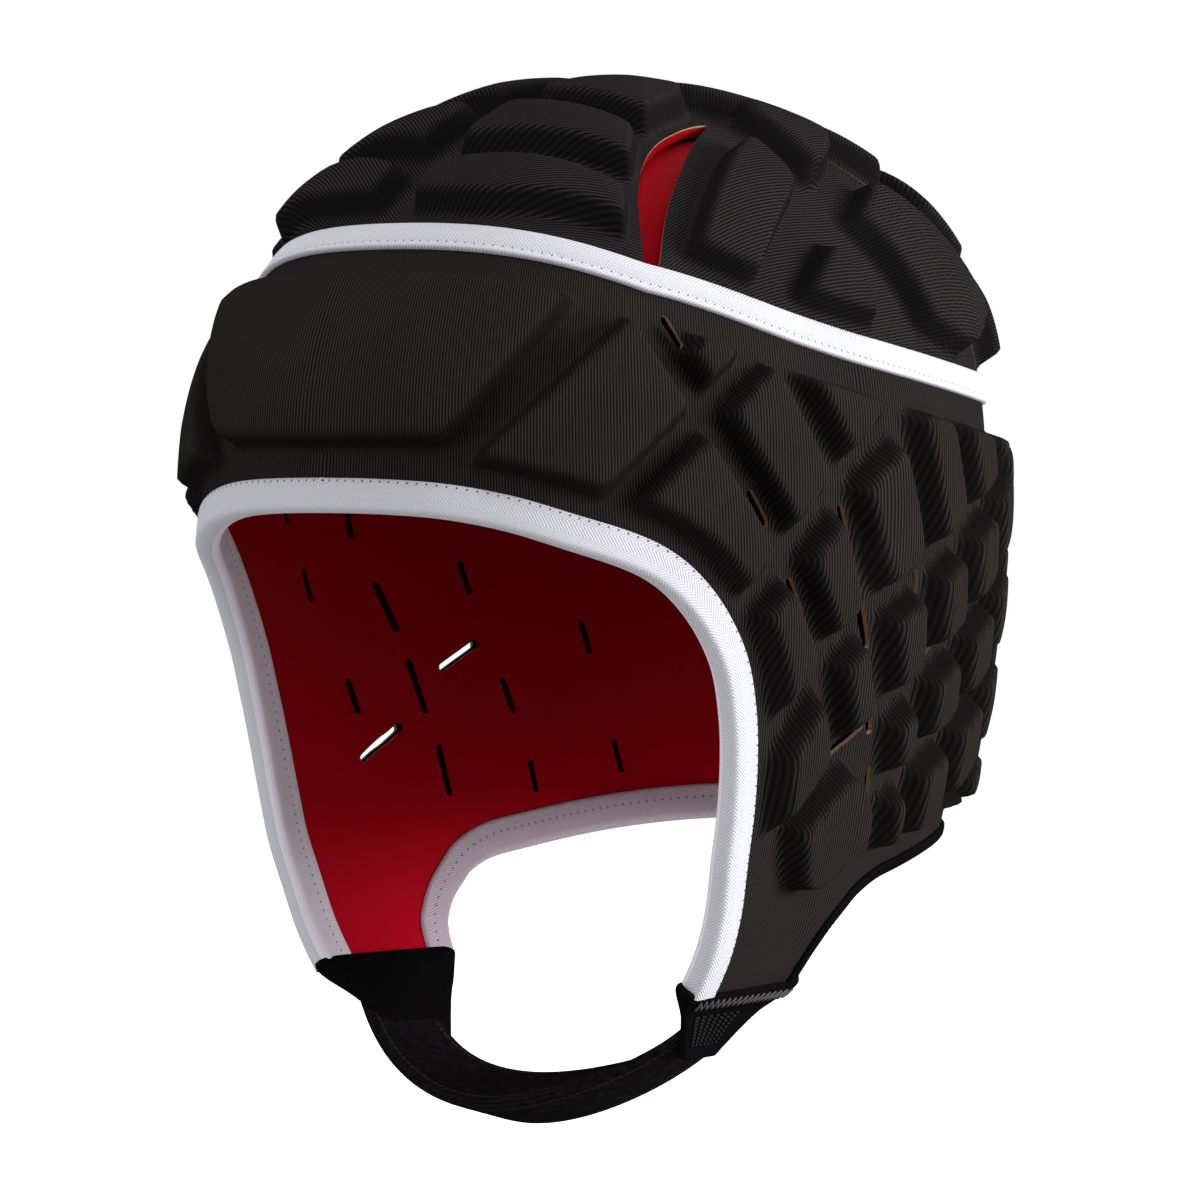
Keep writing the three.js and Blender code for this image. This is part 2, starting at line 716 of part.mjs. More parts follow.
function crownPadBlocks() {
  return crownPads.flatMap((pad) => {
    const plan = pad.at.map(([x, y]) => [x * halfWidth, y * frontReach]);
    const outline = clipOutline(plan, (point) => {
      const { angle, station } = crownForm.toForm(point);
      return (seamStation(angle) - station) * mmPerStation - seamBand / 2;
    });
    return [outline, mirroredOutline(outline, 0)].map((each) => padBlock(each, crownForm));
  });
}

// A vent slot's cutter: a bar along the groove, through foam and lining
function slotCutter(slot, side) {
  const station = stationOfDrop(slot.drop);
  const angle = slot.angle * side;
  const normal = formNormal(angle, station);
  const down = formPoint(angle, station + 1).sub(formPoint(angle, station)).normalize();
  const along = down.applyAxisAngle(normal, slot.tilt * degree * side);
  const across = new THREE.Vector3().crossVectors(along, normal);
  const length = slot.long ? longSlotLength : slotLength;
  const bar = new THREE.BoxGeometry(slotWidth, length, padHeight * 4);
  bar.applyMatrix4(new THREE.Matrix4().makeBasis(across, along, normal).setPosition(formPoint(angle, station)));
  return solidFrom([...bar.attributes.position.array], [...bar.index.array]);
}

const slotCutters = () => ventSlots.flatMap((slot) => [slotCutter(slot, 1), slotCutter(slot, -1)]);

// A dart's cutter: a lens along its line, through the foam but not the lining
function dartCutter(dart, side) {
  const points = dart.at.map(([x, y]) => new THREE.Vector2(x * halfWidth * side, y * frontReach));
  const line = new THREE.SplineCurve(points);
  const layer = (lift) => stepsBetween(0, 1, 10).map((place) => {
    const point = line.getPoint(place);
    const tangent = line.getTangent(place);
    const half = (0.1 + Math.sin(Math.PI * place) ** 0.8) * dartWidth * dart.width / 2;
    return [-half, half].map((offset) => {
      const spot = [point.x - tangent.y * offset * side, point.y + tangent.x * offset * side];
      const { angle, station } = crownForm.toForm(spot);
      return raised(angle, station, lift);
    });
  });
  return bodyBetween(layer(padHeight * 1.5), layer(-wallTotal * 2), false);
}

// A body swept through frames, each a point with the two directions of the section's plane
function sweptBody(frames, section) {
  const count = section.length;
  const positions = frames.flatMap(({ point, sideways, outward }) => section.flatMap(([a, b]) => (
    point.clone().addScaledVector(sideways, a).addScaledVector(outward, b).toArray()
  )));
  const triangles = [];
  for (let row = 0; row < frames.length - 1; row += 1) {
    for (let i = 0; i < count; i += 1) {
      const [a, b] = [row * count + i, row * count + (i + 1) % count];
      triangles.push(a, b, b + count, a, b + count, a + count);
    }
  }
  const outline = section.map(([a, b]) => new THREE.Vector2(a, b));
  const last = (frames.length - 1) * count;
  for (const [a, b, c] of THREE.ShapeUtils.triangulateShape(outline, [])) {
    triangles.push(a, c, b, last + a, last + b, last + c);
  }
  return solidFrom(positions, triangles);
}

// Places along an edge, from flap to flap, that lie an even distance apart
function evenPlaces(edge) {
  const fine = stepsBetween(0, 1, 200);
  const spots = fine.map((place) => {
    const at = edge(place);
    return formPoint(at.angle, at.station);
  });
  const run = [0];
  spots.slice(1).forEach((spot, i) => run.push(run[i] + spot.distanceTo(spots[i])));
  const half = stepsBetween(0, run[run.length - 1], edgeSegments / 2).map((wanted) => {
    const found = Math.max(run.findIndex((length) => length >= wanted - 1e-9), 1);
    const share = (wanted - run[found - 1]) / (run[found] - run[found - 1]);
    return fine[found - 1] + (fine[found] - fine[found - 1]) * share;
  });
  return [...half.slice(1).reverse().map((place) => -place), ...half];
}

// Frames along the edge of an opening: sideways points into the cloth
function edgeFrames(edge) {
  const places = evenPlaces(edge);
  const points = places.map((place) => {
    const at = edge(place);
    return formPoint(at.angle, at.station);
  });
  const middle = formPoint(edge(0).angle, stationCount);
  return places.map((place, i) => {
    const at = edge(place);
    const before = points[Math.max(i - 1, 0)];
    const after = points[Math.min(i + 1, points.length - 1)];
    const outward = formNormal(at.angle, at.station);
    const sideways = new THREE.Vector3().crossVectors(after.clone().sub(before), outward).normalize();
    if (sideways.dot(points[i].clone().sub(middle)) < 0) {
      sideways.negate();
    }
    return { point: points[i], sideways, outward };
  });
}

// A tape folded round an edge, longer on the inside than on the outside
function edgeTape(edge, outside, inside) {
  const near = tapeGap;
  const far = tapeGap + tapeThickness;
  const deep = -wallTotal - tapeInsideGap;
  return sweptBody(edgeFrames(edge), [
    [outside, near],
    [outside, far],
    [-far, far],
    [-far, deep - tapeThickness],
    [inside, deep - tapeLean - tapeThickness],
    [inside, deep - tapeLean],
    [-near, deep],
    [-near, near],
  ]);
}

const flapEnd = stationOfDrop(faceLine[faceLine.length - 1].drop);

function crownWall(low, high) {
  const gap = clearance / 2 / mmPerStation;
  return wallRing(() => 0, (angle) => seamStation(angle) - gap, crownRings, low, high);
}

function sideWall(low, high) {
  const gap = clearance / 2 / mmPerStation;
  return wallRing((angle) => seamStation(angle) + gap, () => flapEnd, sideRings, low, high);
}

function cutBy(solid, cutters) {
  return cutters.reduce((result, cutter) => result.subtract(cutter), solid);
}

function joined(solids) {
  return solids.reduce((result, solid) => result.add(solid));
}

function seamTape() {
  const half = seamTapeWidth / 2 / mmPerStation;
  return wallRing(
    (angle) => seamStation(angle) - half,
    (angle) => seamStation(angle) + half,
    1,
    tapeGap,
    tapeGap + tapeThickness,
  );
}

// The strap's tab carries on the wall below the flap and narrows to the strap
function tabRow(share, lift, side) {
  const [front, back] = [faceEdge(1).angle, napeEdge(1).angle];
  const start = flapEnd + clearance / mmPerStation;
  const station = start + share * tabLength / mmPerStation;
  const width = formPoint(back, start).distanceTo(formPoint(front, start));
  const narrowing = (1 - strapWidth / width) / 2 * share;
  const angles = stepsBetween(front + (back - front) * narrowing, back - (back - front) * narrowing, 4);
  return angles.map((angle) => raised(angle * side, station, lift));
}

function strapTab(side) {
  const layer = (lift) => stepsBetween(0, 1, 3).map((share) => tabRow(share, lift, side));
  return bodyBetween(layer(0), layer(-wallTotal + clearance), false);
}

// The strap hangs from one tab to the other in one smooth curve under the chin
function chinStrap() {
  const lift = -(wallTotal - clearance) / 2;
  const end = tabRow(1, lift, 1);
  const before = tabRow(0.8, lift, 1);
  const middle = Math.floor(end.length / 2);
  const endWidth = end[end.length - 1].clone().sub(end[0]).normalize();
  const direction = end[middle].clone().sub(before[middle]);
  direction.addScaledVector(endWidth, -direction.dot(endWidth)).normalize();
  const start = end[middle].clone().addScaledVector(direction, tapeGap);
  const chin = new THREE.Vector3(0, start.y, heightAt(flapEnd) - strapDrop);
  const curve = new THREE.CubicBezierCurve3(
    start,
    start.clone().addScaledVector(direction, strapDrop * 0.45),
    new THREE.Vector3(start.x * 0.5, start.y, chin.z),
    chin,
  );
  const chinTilt = strapTilt * degree;
  const chinWidth = new THREE.Vector3(0, Math.cos(chinTilt), -Math.sin(chinTilt));
  const half = stepsBetween(0, 1, strapSegments / 2).map((place) => {
    const tangent = curve.getTangent(place);
    const sideways = endWidth.clone().lerp(chinWidth, Math.sin(place * Math.PI / 2));
    sideways.addScaledVector(tangent, -sideways.dot(tangent)).normalize();
    return { point: curve.getPoint(place), sideways };
  });
  const mirrored = half.slice(0, -1).reverse().map(({ point, sideways }) => ({
    point: new THREE.Vector3(-point.x, point.y, point.z),
    sideways: new THREE.Vector3(-sideways.x, sideways.y, sideways.z),
  }));
  const path = [...half, ...mirrored];
  const frames = path.map(({ point, sideways }, i) => {
    const tangent = path[Math.min(i + 1, path.length - 1)].point.clone()
      .sub(path[Math.max(i - 1, 0)].point).normalize();
    const outward = new THREE.Vector3().crossVectors(tangent, sideways).normalize();
    return { point, sideways, outward };
  });
  const [w, t] = [strapWidth / 2, strapThickness / 2];
  return sweptBody(frames, [[-w, -t], [w, -t], [w, t], [-w, t]]);
}

const cloth = {
  charcoal: { color: 0x201e1d, roughness: 0.85, metalness: 0 },
  red: { color: 0x8e0f26, roughness: 0.8, metalness: 0 },
  white: { color: 0xe9e9ee, roughness: 0.8, metalness: 0 },
  black: { color: 0x1a1a1b, roughness: 0.9, metalness: 0 },
};

function part(name, solid, finish) {
  const mesh = new THREE.Mesh(geometryOf(solid), new THREE.MeshStandardMaterial(finish));
  mesh.name = name;
  return mesh;
}

function buildCap() {
  const cap = new THREE.Group();
  cap.name = 'scrum_cap';
  const openings = [faceCutter(), napeCutter()];
  const slots = slotCutters();
  const dartCutters = darts.flatMap((dart) => [dartCutter(dart, 1), dartCutter(dart, -1)]);
  const [liningLow, liningHigh] = [-wallTotal, -wallTotal + liningWall];

  const crownInside = crownWall(-foamWall - padHeight, -foamWall);
  const crownFoam = joined([crownWall(-foamWall, 0), ...crownPadBlocks()]);
  const crown = cutBy(crownFoam, [crownInside, ...dartCutters]);
  cap.add(part('crown_panel', crown, cloth.charcoal));
  cap.add(part('crown_lining', crownWall(liningLow, liningHigh), cloth.red));

  const sideInside = sideWall(-foamWall - padHeight, -foamWall);
  const sideFoam = joined([sideWall(-foamWall, 0), ...sidePads()]);
  const side = cutBy(sideFoam, [sideInside, ...openings, ...slots]);
  cap.add(part('side_panel', side, cloth.charcoal));
  const lining = cutBy(sideWall(liningLow, liningHigh), [...openings, ...slots]);
  cap.add(part('side_lining', lining, cloth.red));

  cap.add(part('seam_tape', seamTape(), cloth.white));
  cap.add(part('face_tape', edgeTape(faceEdge, edgeTapeOutside, edgeTapeInside), cloth.white));
  cap.add(part('nape_tape', edgeTape(napeEdge, hemOutside, hemInside), cloth.white));

  cap.add(part('strap_tab_left', strapTab(1), cloth.black));
  cap.add(part('strap_tab_right', strapTab(-1), cloth.black));
  cap.add(part('chin_strap', chinStrap(), cloth.black));
  return cap;
}

export default buildCap();
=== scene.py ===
import math

import bpy
import numpy as np
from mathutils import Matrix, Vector


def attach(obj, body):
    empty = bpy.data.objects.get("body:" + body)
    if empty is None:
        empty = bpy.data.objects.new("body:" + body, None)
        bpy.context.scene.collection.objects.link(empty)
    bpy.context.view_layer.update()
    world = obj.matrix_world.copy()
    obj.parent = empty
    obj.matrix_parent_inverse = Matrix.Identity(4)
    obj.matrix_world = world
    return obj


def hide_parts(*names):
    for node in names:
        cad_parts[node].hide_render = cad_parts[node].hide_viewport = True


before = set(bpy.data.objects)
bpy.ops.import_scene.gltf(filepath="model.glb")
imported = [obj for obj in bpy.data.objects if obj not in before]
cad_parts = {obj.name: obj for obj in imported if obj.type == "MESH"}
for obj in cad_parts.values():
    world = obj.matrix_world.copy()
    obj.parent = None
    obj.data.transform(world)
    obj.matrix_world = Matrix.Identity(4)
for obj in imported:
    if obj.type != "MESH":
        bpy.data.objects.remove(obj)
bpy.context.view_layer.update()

# The head form, the same as the solids have, in millimetres
form = {
    "depth": 214, "halfWidth": 78.5, "front": 102, "back": 109, "roundness": 2.25,
    "foam": 2.7, "wall": 4.0, "clearance": 0.3, "stationStep": 15,
}
# drop, half width, front reach, back reach, flare
sections = np.array([
    (0, 0, 0, 0, 0), (0.012, 0.28, 0.245, 0.294, 0), (0.053, 0.541, 0.485, 0.573, 0),
    (0.117, 0.752, 0.686, 0.789, 0), (0.203, 0.898, 0.853, 0.922, 0), (0.306, 0.975, 0.951, 0.982, 0.02),
    (0.416, 1, 0.99, 1, 0.06), (0.533, 0.994, 1, 0.986, 0.15), (0.64, 0.962, 1, 0.972, 0.27),
    (0.752, 0.904, 0.98, 0.95, 0.38), (0.85, 0.834, 0.951, 0.927, 0.47), (0.93, 0.758, 0.902, 0.899, 0.52),
    (1, 0.65, 0.863, 0.872, 0.55),
])
seamLine = [(-1, 0.147), (-0.775, 0.159), (-0.55, 0.205), (-0.2, 0.257), (0.165, 0.29), (0.55, 0.313), (1, 0.322)]
faceLine = [
    (-1, 0.446), (-0.95, 0.452), (-0.882, 0.465), (-0.804, 0.483), (-0.652, 0.515), (-0.554, 0.556),
    (-0.478, 0.612), (-0.44, 0.668), (-0.419, 0.72), (-0.406, 0.776), (-0.397, 0.832), (-0.377, 0.893),
    (-0.363, 0.977),
]
napeLine = [
    (0.037, 0.977), (0.058, 0.944), (0.096, 0.916), (0.147, 0.893), (0.19, 0.877), (0.266, 0.862),
    (0.367, 0.853), (0.587, 0.836), (0.78, 0.825), (0.935, 0.82),
]
stationCount = (len(sections) - 1) * form["stationStep"]
perDegree = (form["halfWidth"] + form["front"] + form["back"]) / 3 * math.pi / 180
perStation = form["depth"] / stationCount * 1.35


def rowsAt(station):
    place = np.asarray(station, float) / form["stationStep"]
    last = len(sections) - 1
    index = np.clip(np.floor(place).astype(int), 0, last - 1)
    t = (place - index)[..., None]
    mirrored = sections[1] * np.array([1, -1, -1, -1, 0])
    before = np.where((index == 0)[..., None], mirrored, sections[np.maximum(index - 1, 0)])
    a, b = sections[index], sections[index + 1]
    after = np.where((index + 2 > last)[..., None], 2 * b - a, sections[np.minimum(index + 2, last)])
    curve = 0.5 * (2 * a + (b - before) * t + (2 * before - 5 * a + 4 * b - after) * t * t
                   + (3 * a - before - 3 * b + after) * t ** 3)
    return np.where(t > 1, b + (b - a) * (t - 1), curve)


def formPoint(angle, station):
    angle, station = np.broadcast_arrays(np.asarray(angle, float), np.asarray(station, float))
    drop, half, front, back, flare = np.moveaxis(rowsAt(station), -1, 0)
    sine, cosine = np.sin(np.radians(angle)), np.cos(np.radians(angle))
    power = 2 / form["roundness"]
    spread = 1 + flare * (cosine + cosine ** 2) / 2
    reach = np.where(cosine > 0, -front * form["front"], back * form["back"])
    x = half * form["halfWidth"] * np.sign(sine) * np.abs(sine) ** power * spread
    return np.stack([x, reach * np.abs(cosine) ** power, form["wall"] - drop * form["depth"]], -1)


def unit(vectors):
    return vectors / (np.linalg.norm(vectors, axis=-1, keepdims=True) + 1e-12)


def formNormal(angle, station):
    station = np.maximum(station, 1.2)
    across = formPoint(np.asarray(angle) + 0.5, station) - formPoint(np.asarray(angle) - 0.5, station)
    down = formPoint(angle, station + 0.5) - formPoint(angle, station - 0.5)
    return unit(np.cross(down, across))


def raised(angle, station, lift):
    return formPoint(angle, station) + formNormal(angle, station) * np.asarray(lift)[..., None]


denseStations = np.linspace(0, stationCount * 1.3, 2400)
denseDrops = rowsAt(denseStations)[:, 0]


def stationOfDrop(drop):
    return np.interp(drop, denseDrops, denseStations)


def tableAt(rows, wanted):
    xs, ys = np.array(rows).T
    index = np.clip(np.searchsorted(xs, wanted, side="right") - 1, 0, len(xs) - 2)
    a, b = ys[index], ys[index + 1]
    before, after = ys[np.maximum(index - 1, 0)], ys[np.minimum(index + 2, len(xs) - 1)]
    t = np.clip((wanted - xs[index]) / (xs[index + 1] - xs[index]), 0, 1)
    c1, c2 = a + (b - before) / 6, b - (after - a) / 6
    return a * (1 - t) ** 3 + 3 * c1 * t * (1 - t) ** 2 + 3 * c2 * t * t * (1 - t) + b * t ** 3


def makeSeam():
    angles = np.linspace(0, 360, 721)
    stations = np.linspace(form["stationStep"], stationCount / 2, 700)
    y = formPoint(angles[:, None], stations[None, :])[..., 1]
    share = np.where(y < 0, y / form["front"], y / form["back"])
    above = rowsAt(stations)[:, 0][None, :] - tableAt(seamLine, share)
    first = np.argmax(above > 0, axis=1)
    low, high = above[np.arange(721), first - 1], above[np.arange(721), first]
    return angles, stations[first - 1] + (stations[1] - stations[0]) * -low / (high - low)


seamAngles, seamStations = makeSeam()


def seamStation(angle):
    return np.interp(np.mod(angle, 360), seamAngles, seamStations)


def splineAt(points, places):
    points = np.array(points, float)
    count = len(points)
    p = (count - 1) * np.asarray(places)
    i = np.clip(np.floor(p).astype(int), 0, count - 1)
    w = (p - i)[:, None]
    p0, p1 = points[np.maximum(i - 1, 0)], points[i]
    p2, p3 = points[np.minimum(i + 1, count - 1)], points[np.minimum(i + 2, count - 1)]
    v0, v1 = (p2 - p0) / 2, (p3 - p1) / 2
    return (2 * p1 - 2 * p2 + v0 + v1) * w ** 3 + (-3 * p1 + 3 * p2 - 2 * v0 - v1) * w ** 2 + v0 * w + p1


# Angle and station along the wearer's left half of an opening's edge.
def halfEdge(line, count):
    at = splineAt(line, np.linspace(0, 1, count))
    station = stationOfDrop(at[:, 1])
    row = rowsAt(station)
    limit = np.where(at[:, 0] < 0, row[:, 2], row[:, 3])
    cosine = -np.sign(at[:, 0]) * np.minimum(np.abs(at[:, 0] / limit), 1) ** (form["roundness"] / 2)
    return np.degrees(np.arccos(cosine)), station


def flatOf(angle, station):
    return np.stack([np.asarray(angle) * perDegree, np.asarray(station) * perStation], -1)


# Distances in the flat drawing of the side panel
def insidePolygon(points, polygon):
    inside = np.zeros(points.shape[:-1], bool)
    x, y = points[..., 0], points[..., 1]
    for (ax, ay), (bx, by) in zip(polygon, np.roll(polygon, -1, axis=0)):
        crosses = (ay > y) != (by > y)
        with np.errstate(divide="ignore", invalid="ignore"):
            inside ^= crosses & (x < (bx - ax) * (y - ay) / (by - ay) + ax)
    return inside


def nearestOn(points, polygon, closed=True):
    best = np.full(points.shape[:-1], np.inf)
    spot = np.zeros_like(points)
    ends = np.roll(polygon, -1, axis=0)
    pairs = list(zip(polygon, ends)) if closed else list(zip(polygon[:-1], polygon[1:]))
    for a, b in pairs:
        run = b - a
        t = np.clip(((points - a) @ run) / max(run @ run, 1e-9), 0, 1)
        place = a + t[..., None] * run
        gap = np.linalg.norm(points - place, axis=-1)
        closer = gap < best
        best = np.where(closer, gap, best)
        spot = np.where(closer[..., None], place, spot)
    return best, spot


# How far each point lies inside each side of a convex outline.
def sideDepths(points, polygon):
    ends = np.roll(polygon, -1, axis=0)
    area = np.sum(polygon[:, 0] * ends[:, 1] - ends[:, 0] * polygon[:, 1])
    run = unit(ends - polygon)
    offset = points[..., None, :] - polygon
    return np.sign(area) * (run[:, 0] * offset[..., 1] - run[:, 1] * offset[..., 0])


def softLeast(depths, softness):
    depths = np.stack(depths, -1) if isinstance(depths, list) else depths
    least = depths.min(-1, keepdims=True)
    return least[..., 0] - softness * np.log(np.exp(-(depths - least) / softness).sum(-1))


pad = {
    "height": 7.0, "side": 3.9, "groove": 3.0, "corner": 0.9, "crowned": 0.9, "crownedOver": 9.0,
    "seamBand": 10.5, "faceBand": 9.8, "napeBand": 9.5, "midlineBand": 3.5, "leastArea": 60, "leastDepth": 2.6,
}


def padProfile(depth):
    t = np.clip(depth / pad["side"], 0, 1)
    rise = t * t * (3 - 2 * t)
    extra = pad["crowned"] * (1 - np.exp(-np.maximum(depth - pad["side"], 0) / pad["crownedOver"]))
    return pad["height"] * rise + extra


fallingDrops = [0.276, 0.439, 0.593, 0.766]
fallingGrooves = [
    [0, 0, 0, 0], [54, 70, 81, 88], [73, 85.5, 91, 96.5], [91, 99.5, 101.5, 104], [104, 110, 112.5, 116],
    [117, 122, 126, 130.5], [130, 135, 139, 144], [143.5, 149, 152.5, 157], [157, 162, 166, 170],
    [170.5, 175.5, 179.5, 183.5],
]
risingAngles = [45, 75, 90, 105, 135, 165]
risingGrooves = [
    [0, 0, 0, 0, 0, 0], [0.257, 0.065, 0, 0, 0, 0], [0.453, 0.257, 0.154, 0.05, 0, 0],
    [0.687, 0.495, 0.379, 0.276, 0.089, 0], [0.883, 0.654, 0.561, 0.495, 0.379, 0.262],
    [1, 0.79, 0.701, 0.614, 0.495, 0.379], [1.1, 0.893, 0.794, 0.724, 0.612, 0.495],
    [1.2, 1, 0.907, 0.841, 0.729, 0.612], [1.3, 1.1, 1.02, 0.958, 0.846, 0.729],
    [1.4, 1.2, 1.12, 1.07, 0.963, 0.846],
]
flapPad = [(77.7, 0.79), (89, 0.715), (94.6, 0.762), (95.6, 0.818), (87.2, 0.869), (81.6, 0.865)]
flapPadRow = 5
lowestPad = 0.869
forehead = {"topAngle": 42, "bottomAngle": 21, "bottomDrop": 0.39}
# angle, drop, tilt, length
ventSlots = [
    (57, 0.262, 35, 9.5), (74, 0.449, 20, 9.5), (87.5, 0.467, 13, 9.5), (79.5, 0.543, 20, 9.5),
    (106, 0.54, 16, 9.5), (92.5, 0.573, 20, 14.5), (103.8, 0.632, -60, 14.5), (96, 0.666, 12, 14.5),
    (86.5, 0.675, 12, 9.5), (111.5, 0.681, 14, 9.5), (127, 0.614, 13, 9.5), (89.6, 0.73, -52, 14.5),
    (98.4, 0.766, 3, 14.5), (114, 0.778, 3, 9.5), (131, 0.757, 10, 9.5),
]
slotWidth = 2.1
warpReach = 12.0
slotClear = {"from": 0.2, "to": 2.6}


def straightTable(xs, ys, x):
    i = next((k for k in range(len(xs) - 1) if xs[k + 1] > x), len(xs) - 2)
    return ys[i] + (ys[i + 1] - ys[i]) * (x - xs[i]) / (xs[i + 1] - xs[i])


def crossing(falling, rising):
    drop, angle = 0.5, 90
    for _ in range(30):
        angle = straightTable(fallingDrops, falling, drop)
        drop = (drop + straightTable(risingAngles, rising, angle)) / 2
    return flatOf(angle, stationOfDrop(drop) if drop > 0 else drop * 100)


faceAngle, faceStation = halfEdge(faceLine, 121)
napeAngle, napeStation = halfEdge(napeLine, 101)
faceFlat, napeFlat = flatOf(faceAngle, faceStation), flatOf(napeAngle, napeStation)
flapEnd = stationOfDrop(faceLine[-1][1])
farBelow = 400


# The height of the pads at flat points on the wearer's left half.
def sideHeight(flat):
    faceGap = nearestOn(flat, faceFlat, False)[0] - pad["faceBand"]
    napeGap = nearestOn(flat, napeFlat, False)[0] - pad["napeBand"]
    seamGap = flat[..., 1] - seamStation(flat[..., 0] / perDegree) * perStation - pad["seamBand"]
    backGap = 180 * perDegree - pad["midlineBand"] - flat[..., 0]
    footGap = stationOfDrop(lowestPad) * perStation - flat[..., 1]
    bands = [faceGap, napeGap, seamGap, backGap, footGap]
    height = np.zeros(flat.shape[:-1])
    for column in range(len(fallingGrooves) - 1):
        for row in range(len(risingGrooves) - 1):
            if (column == 0 and row == 0) or (column < 2 and row >= flapPadRow):
                continue
            corners = np.array([
                crossing(fallingGrooves[c], risingGrooves[r])
                for c, r in ((column, row), (column + 1, row), (column + 1, row + 1), (column, row + 1))
            ])
            sides = sideDepths(flat, corners) - pad["groove"] / 2
            depths = [sides[..., i] for i in range(4)] + bands
            near = np.minimum.reduce(depths)
            if (near > 0).sum() * cellArea < pad["leastArea"] or near.max() < pad["leastDepth"]:
                continue
            height = np.maximum(height, padProfile(softLeast(depths, pad["corner"])))
    flap = np.array([flatOf(a, stationOfDrop(d)) for a, d in flapPad])
    height = np.maximum(height, padProfile(softLeast(sideDepths(flat, flap), pad["corner"])))
    topDip = seamStation(forehead["topAngle"]) * perStation + pad["seamBand"]
    bottom = stationOfDrop(forehead["bottomDrop"]) * perStation
    topU, bottomU = forehead["topAngle"] * perDegree, forehead["bottomAngle"] * perDegree
    brow = np.array([(-topU, topDip), (topU, topDip), (bottomU, bottom), (-bottomU, bottom)])
    sides = sideDepths(flat, brow)
    front = softLeast([sides[..., 1], sides[..., 2], seamGap], pad["corner"] * 1.5)
    return np.maximum(height, padProfile(front))


# The nearest place and direction in a groove of the near side.
def slotInGroove(angle, drop, tilt):
    centre = flatOf(angle, stationOfDrop(drop))
    best = None
    for groove in (fallingGrooves if tilt > 0 else risingGrooves[1:]):
        if tilt > 0:
            ends = [(straightTable(fallingDrops, groove, d), d) for d in (drop - 0.03, drop, drop + 0.03)]
        else:
            ends = [(a, straightTable(risingAngles, groove, a)) for a in (angle - 3, angle, angle + 3)]
        spots = np.array([flatOf(a, stationOfDrop(d)) for a, d in ends])
        away = np.linalg.norm(spots[1] - centre)
        if best is None or away < best[0]:
            run = spots[2] - spots[0]
            turn = math.degrees(math.atan2(run[0], run[1]))
            best = (away, spots[1], turn if tilt > 0 else turn - 180)
    return best


nearSlots, farSlots = [], []
for angle, drop, tilt, length in ventSlots:
    away, spot, turn = slotInGroove(angle, drop, tilt)
    traced = flatOf(angle, stationOfDrop(drop))
    keep = drop < 0.3
    nearSlots.append((traced if keep else spot, tilt if keep else turn, length, tilt))
    farSlots.append((traced, tilt, length, spot))


# Where a point of the far side lies in the grooves of the near side.
def farWarp(flat):
    moved, total = np.zeros_like(flat), np.full(flat.shape[:-1] + (1,), 0.15)
    for traced, tilt, length, spot in farSlots:
        gap = np.sum((flat - traced) ** 2, -1, keepdims=True)
        weight = np.exp(-gap / (2 * warpReach ** 2))
        moved = moved + weight * (spot - traced)
        total = total + weight
    return flat + moved / total


# The outline of a vent slot in the flat drawing.
def roundedSlot(centre, tilt, length):
    half, end = slotWidth / 2, length / 2
    turn = np.radians(np.linspace(0, 180, 7))
    top = np.stack([half * np.cos(turn), end - half + half * np.sin(turn)], -1)
    outline = np.concatenate([top, -top])
    t = math.radians(tilt)
    across, along = outline[:, :1], outline[:, 1:]
    return centre + across * np.array([math.cos(t), -math.sin(t)]) + along * np.array([math.sin(t), math.cos(t)])


cutReach = 0.6


# Which border edges run along one of the outlines
def alongOutline(edges, flat, outlines):
    middle = flat[edges].mean(1)
    middle[:, 0] = np.abs(middle[:, 0])
    best = np.full(len(edges), np.inf)
    for outline in outlines:
        best = np.minimum(best, nearestOn(middle, outline)[0])
    return best < cutReach


# A grid over the form, cut by outlines: vertices next to a cut are moved onto its outline
def cutGrid(flat, cuts, closedRound):
    rows, columns = flat.shape[:2]
    index = np.arange(rows * columns).reshape(rows, columns)
    right = np.roll(index, -1, axis=1) if closedRound else None
    if closedRound:
        quads = np.stack([index[:-1], index[1:], right[1:], right[:-1]], -1).reshape(-1, 4)
    else:
        quads = np.stack([index[:-1, :-1], index[1:, :-1], index[1:, 1:], index[:-1, 1:]], -1).reshape(-1, 4)
    points = flat.reshape(-1, 2).copy()
    corners = points[quads]
    wraps = np.ptp(corners[..., 0], axis=1) > 100
    centre = np.where(wraps[:, None], corners[:, 0], corners.mean(1))
    kept = np.ones(len(quads), bool)
    for outline, mirrored in cuts:
        test = np.abs(centre) if mirrored == "both" else centre * np.array([-1 if mirrored else 1, 1])
        gone = insidePolygon(test, outline)
        if not gone.any():
            continue
        touched = np.zeros(len(points), bool)
        touched[np.unique(quads[kept & ~gone])] = True
        rim = np.zeros(len(points), bool)
        rim[np.unique(quads[gone])] = True
        ids = np.nonzero(rim & touched)[0]
        base = points[ids]
        flip = np.ones(len(ids))
        if mirrored == "both":
            flip = np.where(base[:, 0] < 0, -1.0, 1.0)
        elif mirrored:
            flip = -flip
        work = base * np.stack([flip, np.ones(len(ids))], -1)
        work = nearestOn(work, outline)[1]
        points[ids] = work * np.stack([flip, np.ones(len(ids))], -1)
        kept &= ~gone
    return points, quads[kept]


# Directed edges that only one kept quad has.
def borderEdges(quads):
    edges = np.concatenate([quads[:, [i, (i + 1) % 4]] for i in range(4)])
    keys = np.sort(edges, axis=1)
    code = keys[:, 0].astype(np.int64) * 10 ** 7 + keys[:, 1]
    _, first, count = np.unique(code, return_index=True, return_counts=True)
    return edges[first[count == 1]]


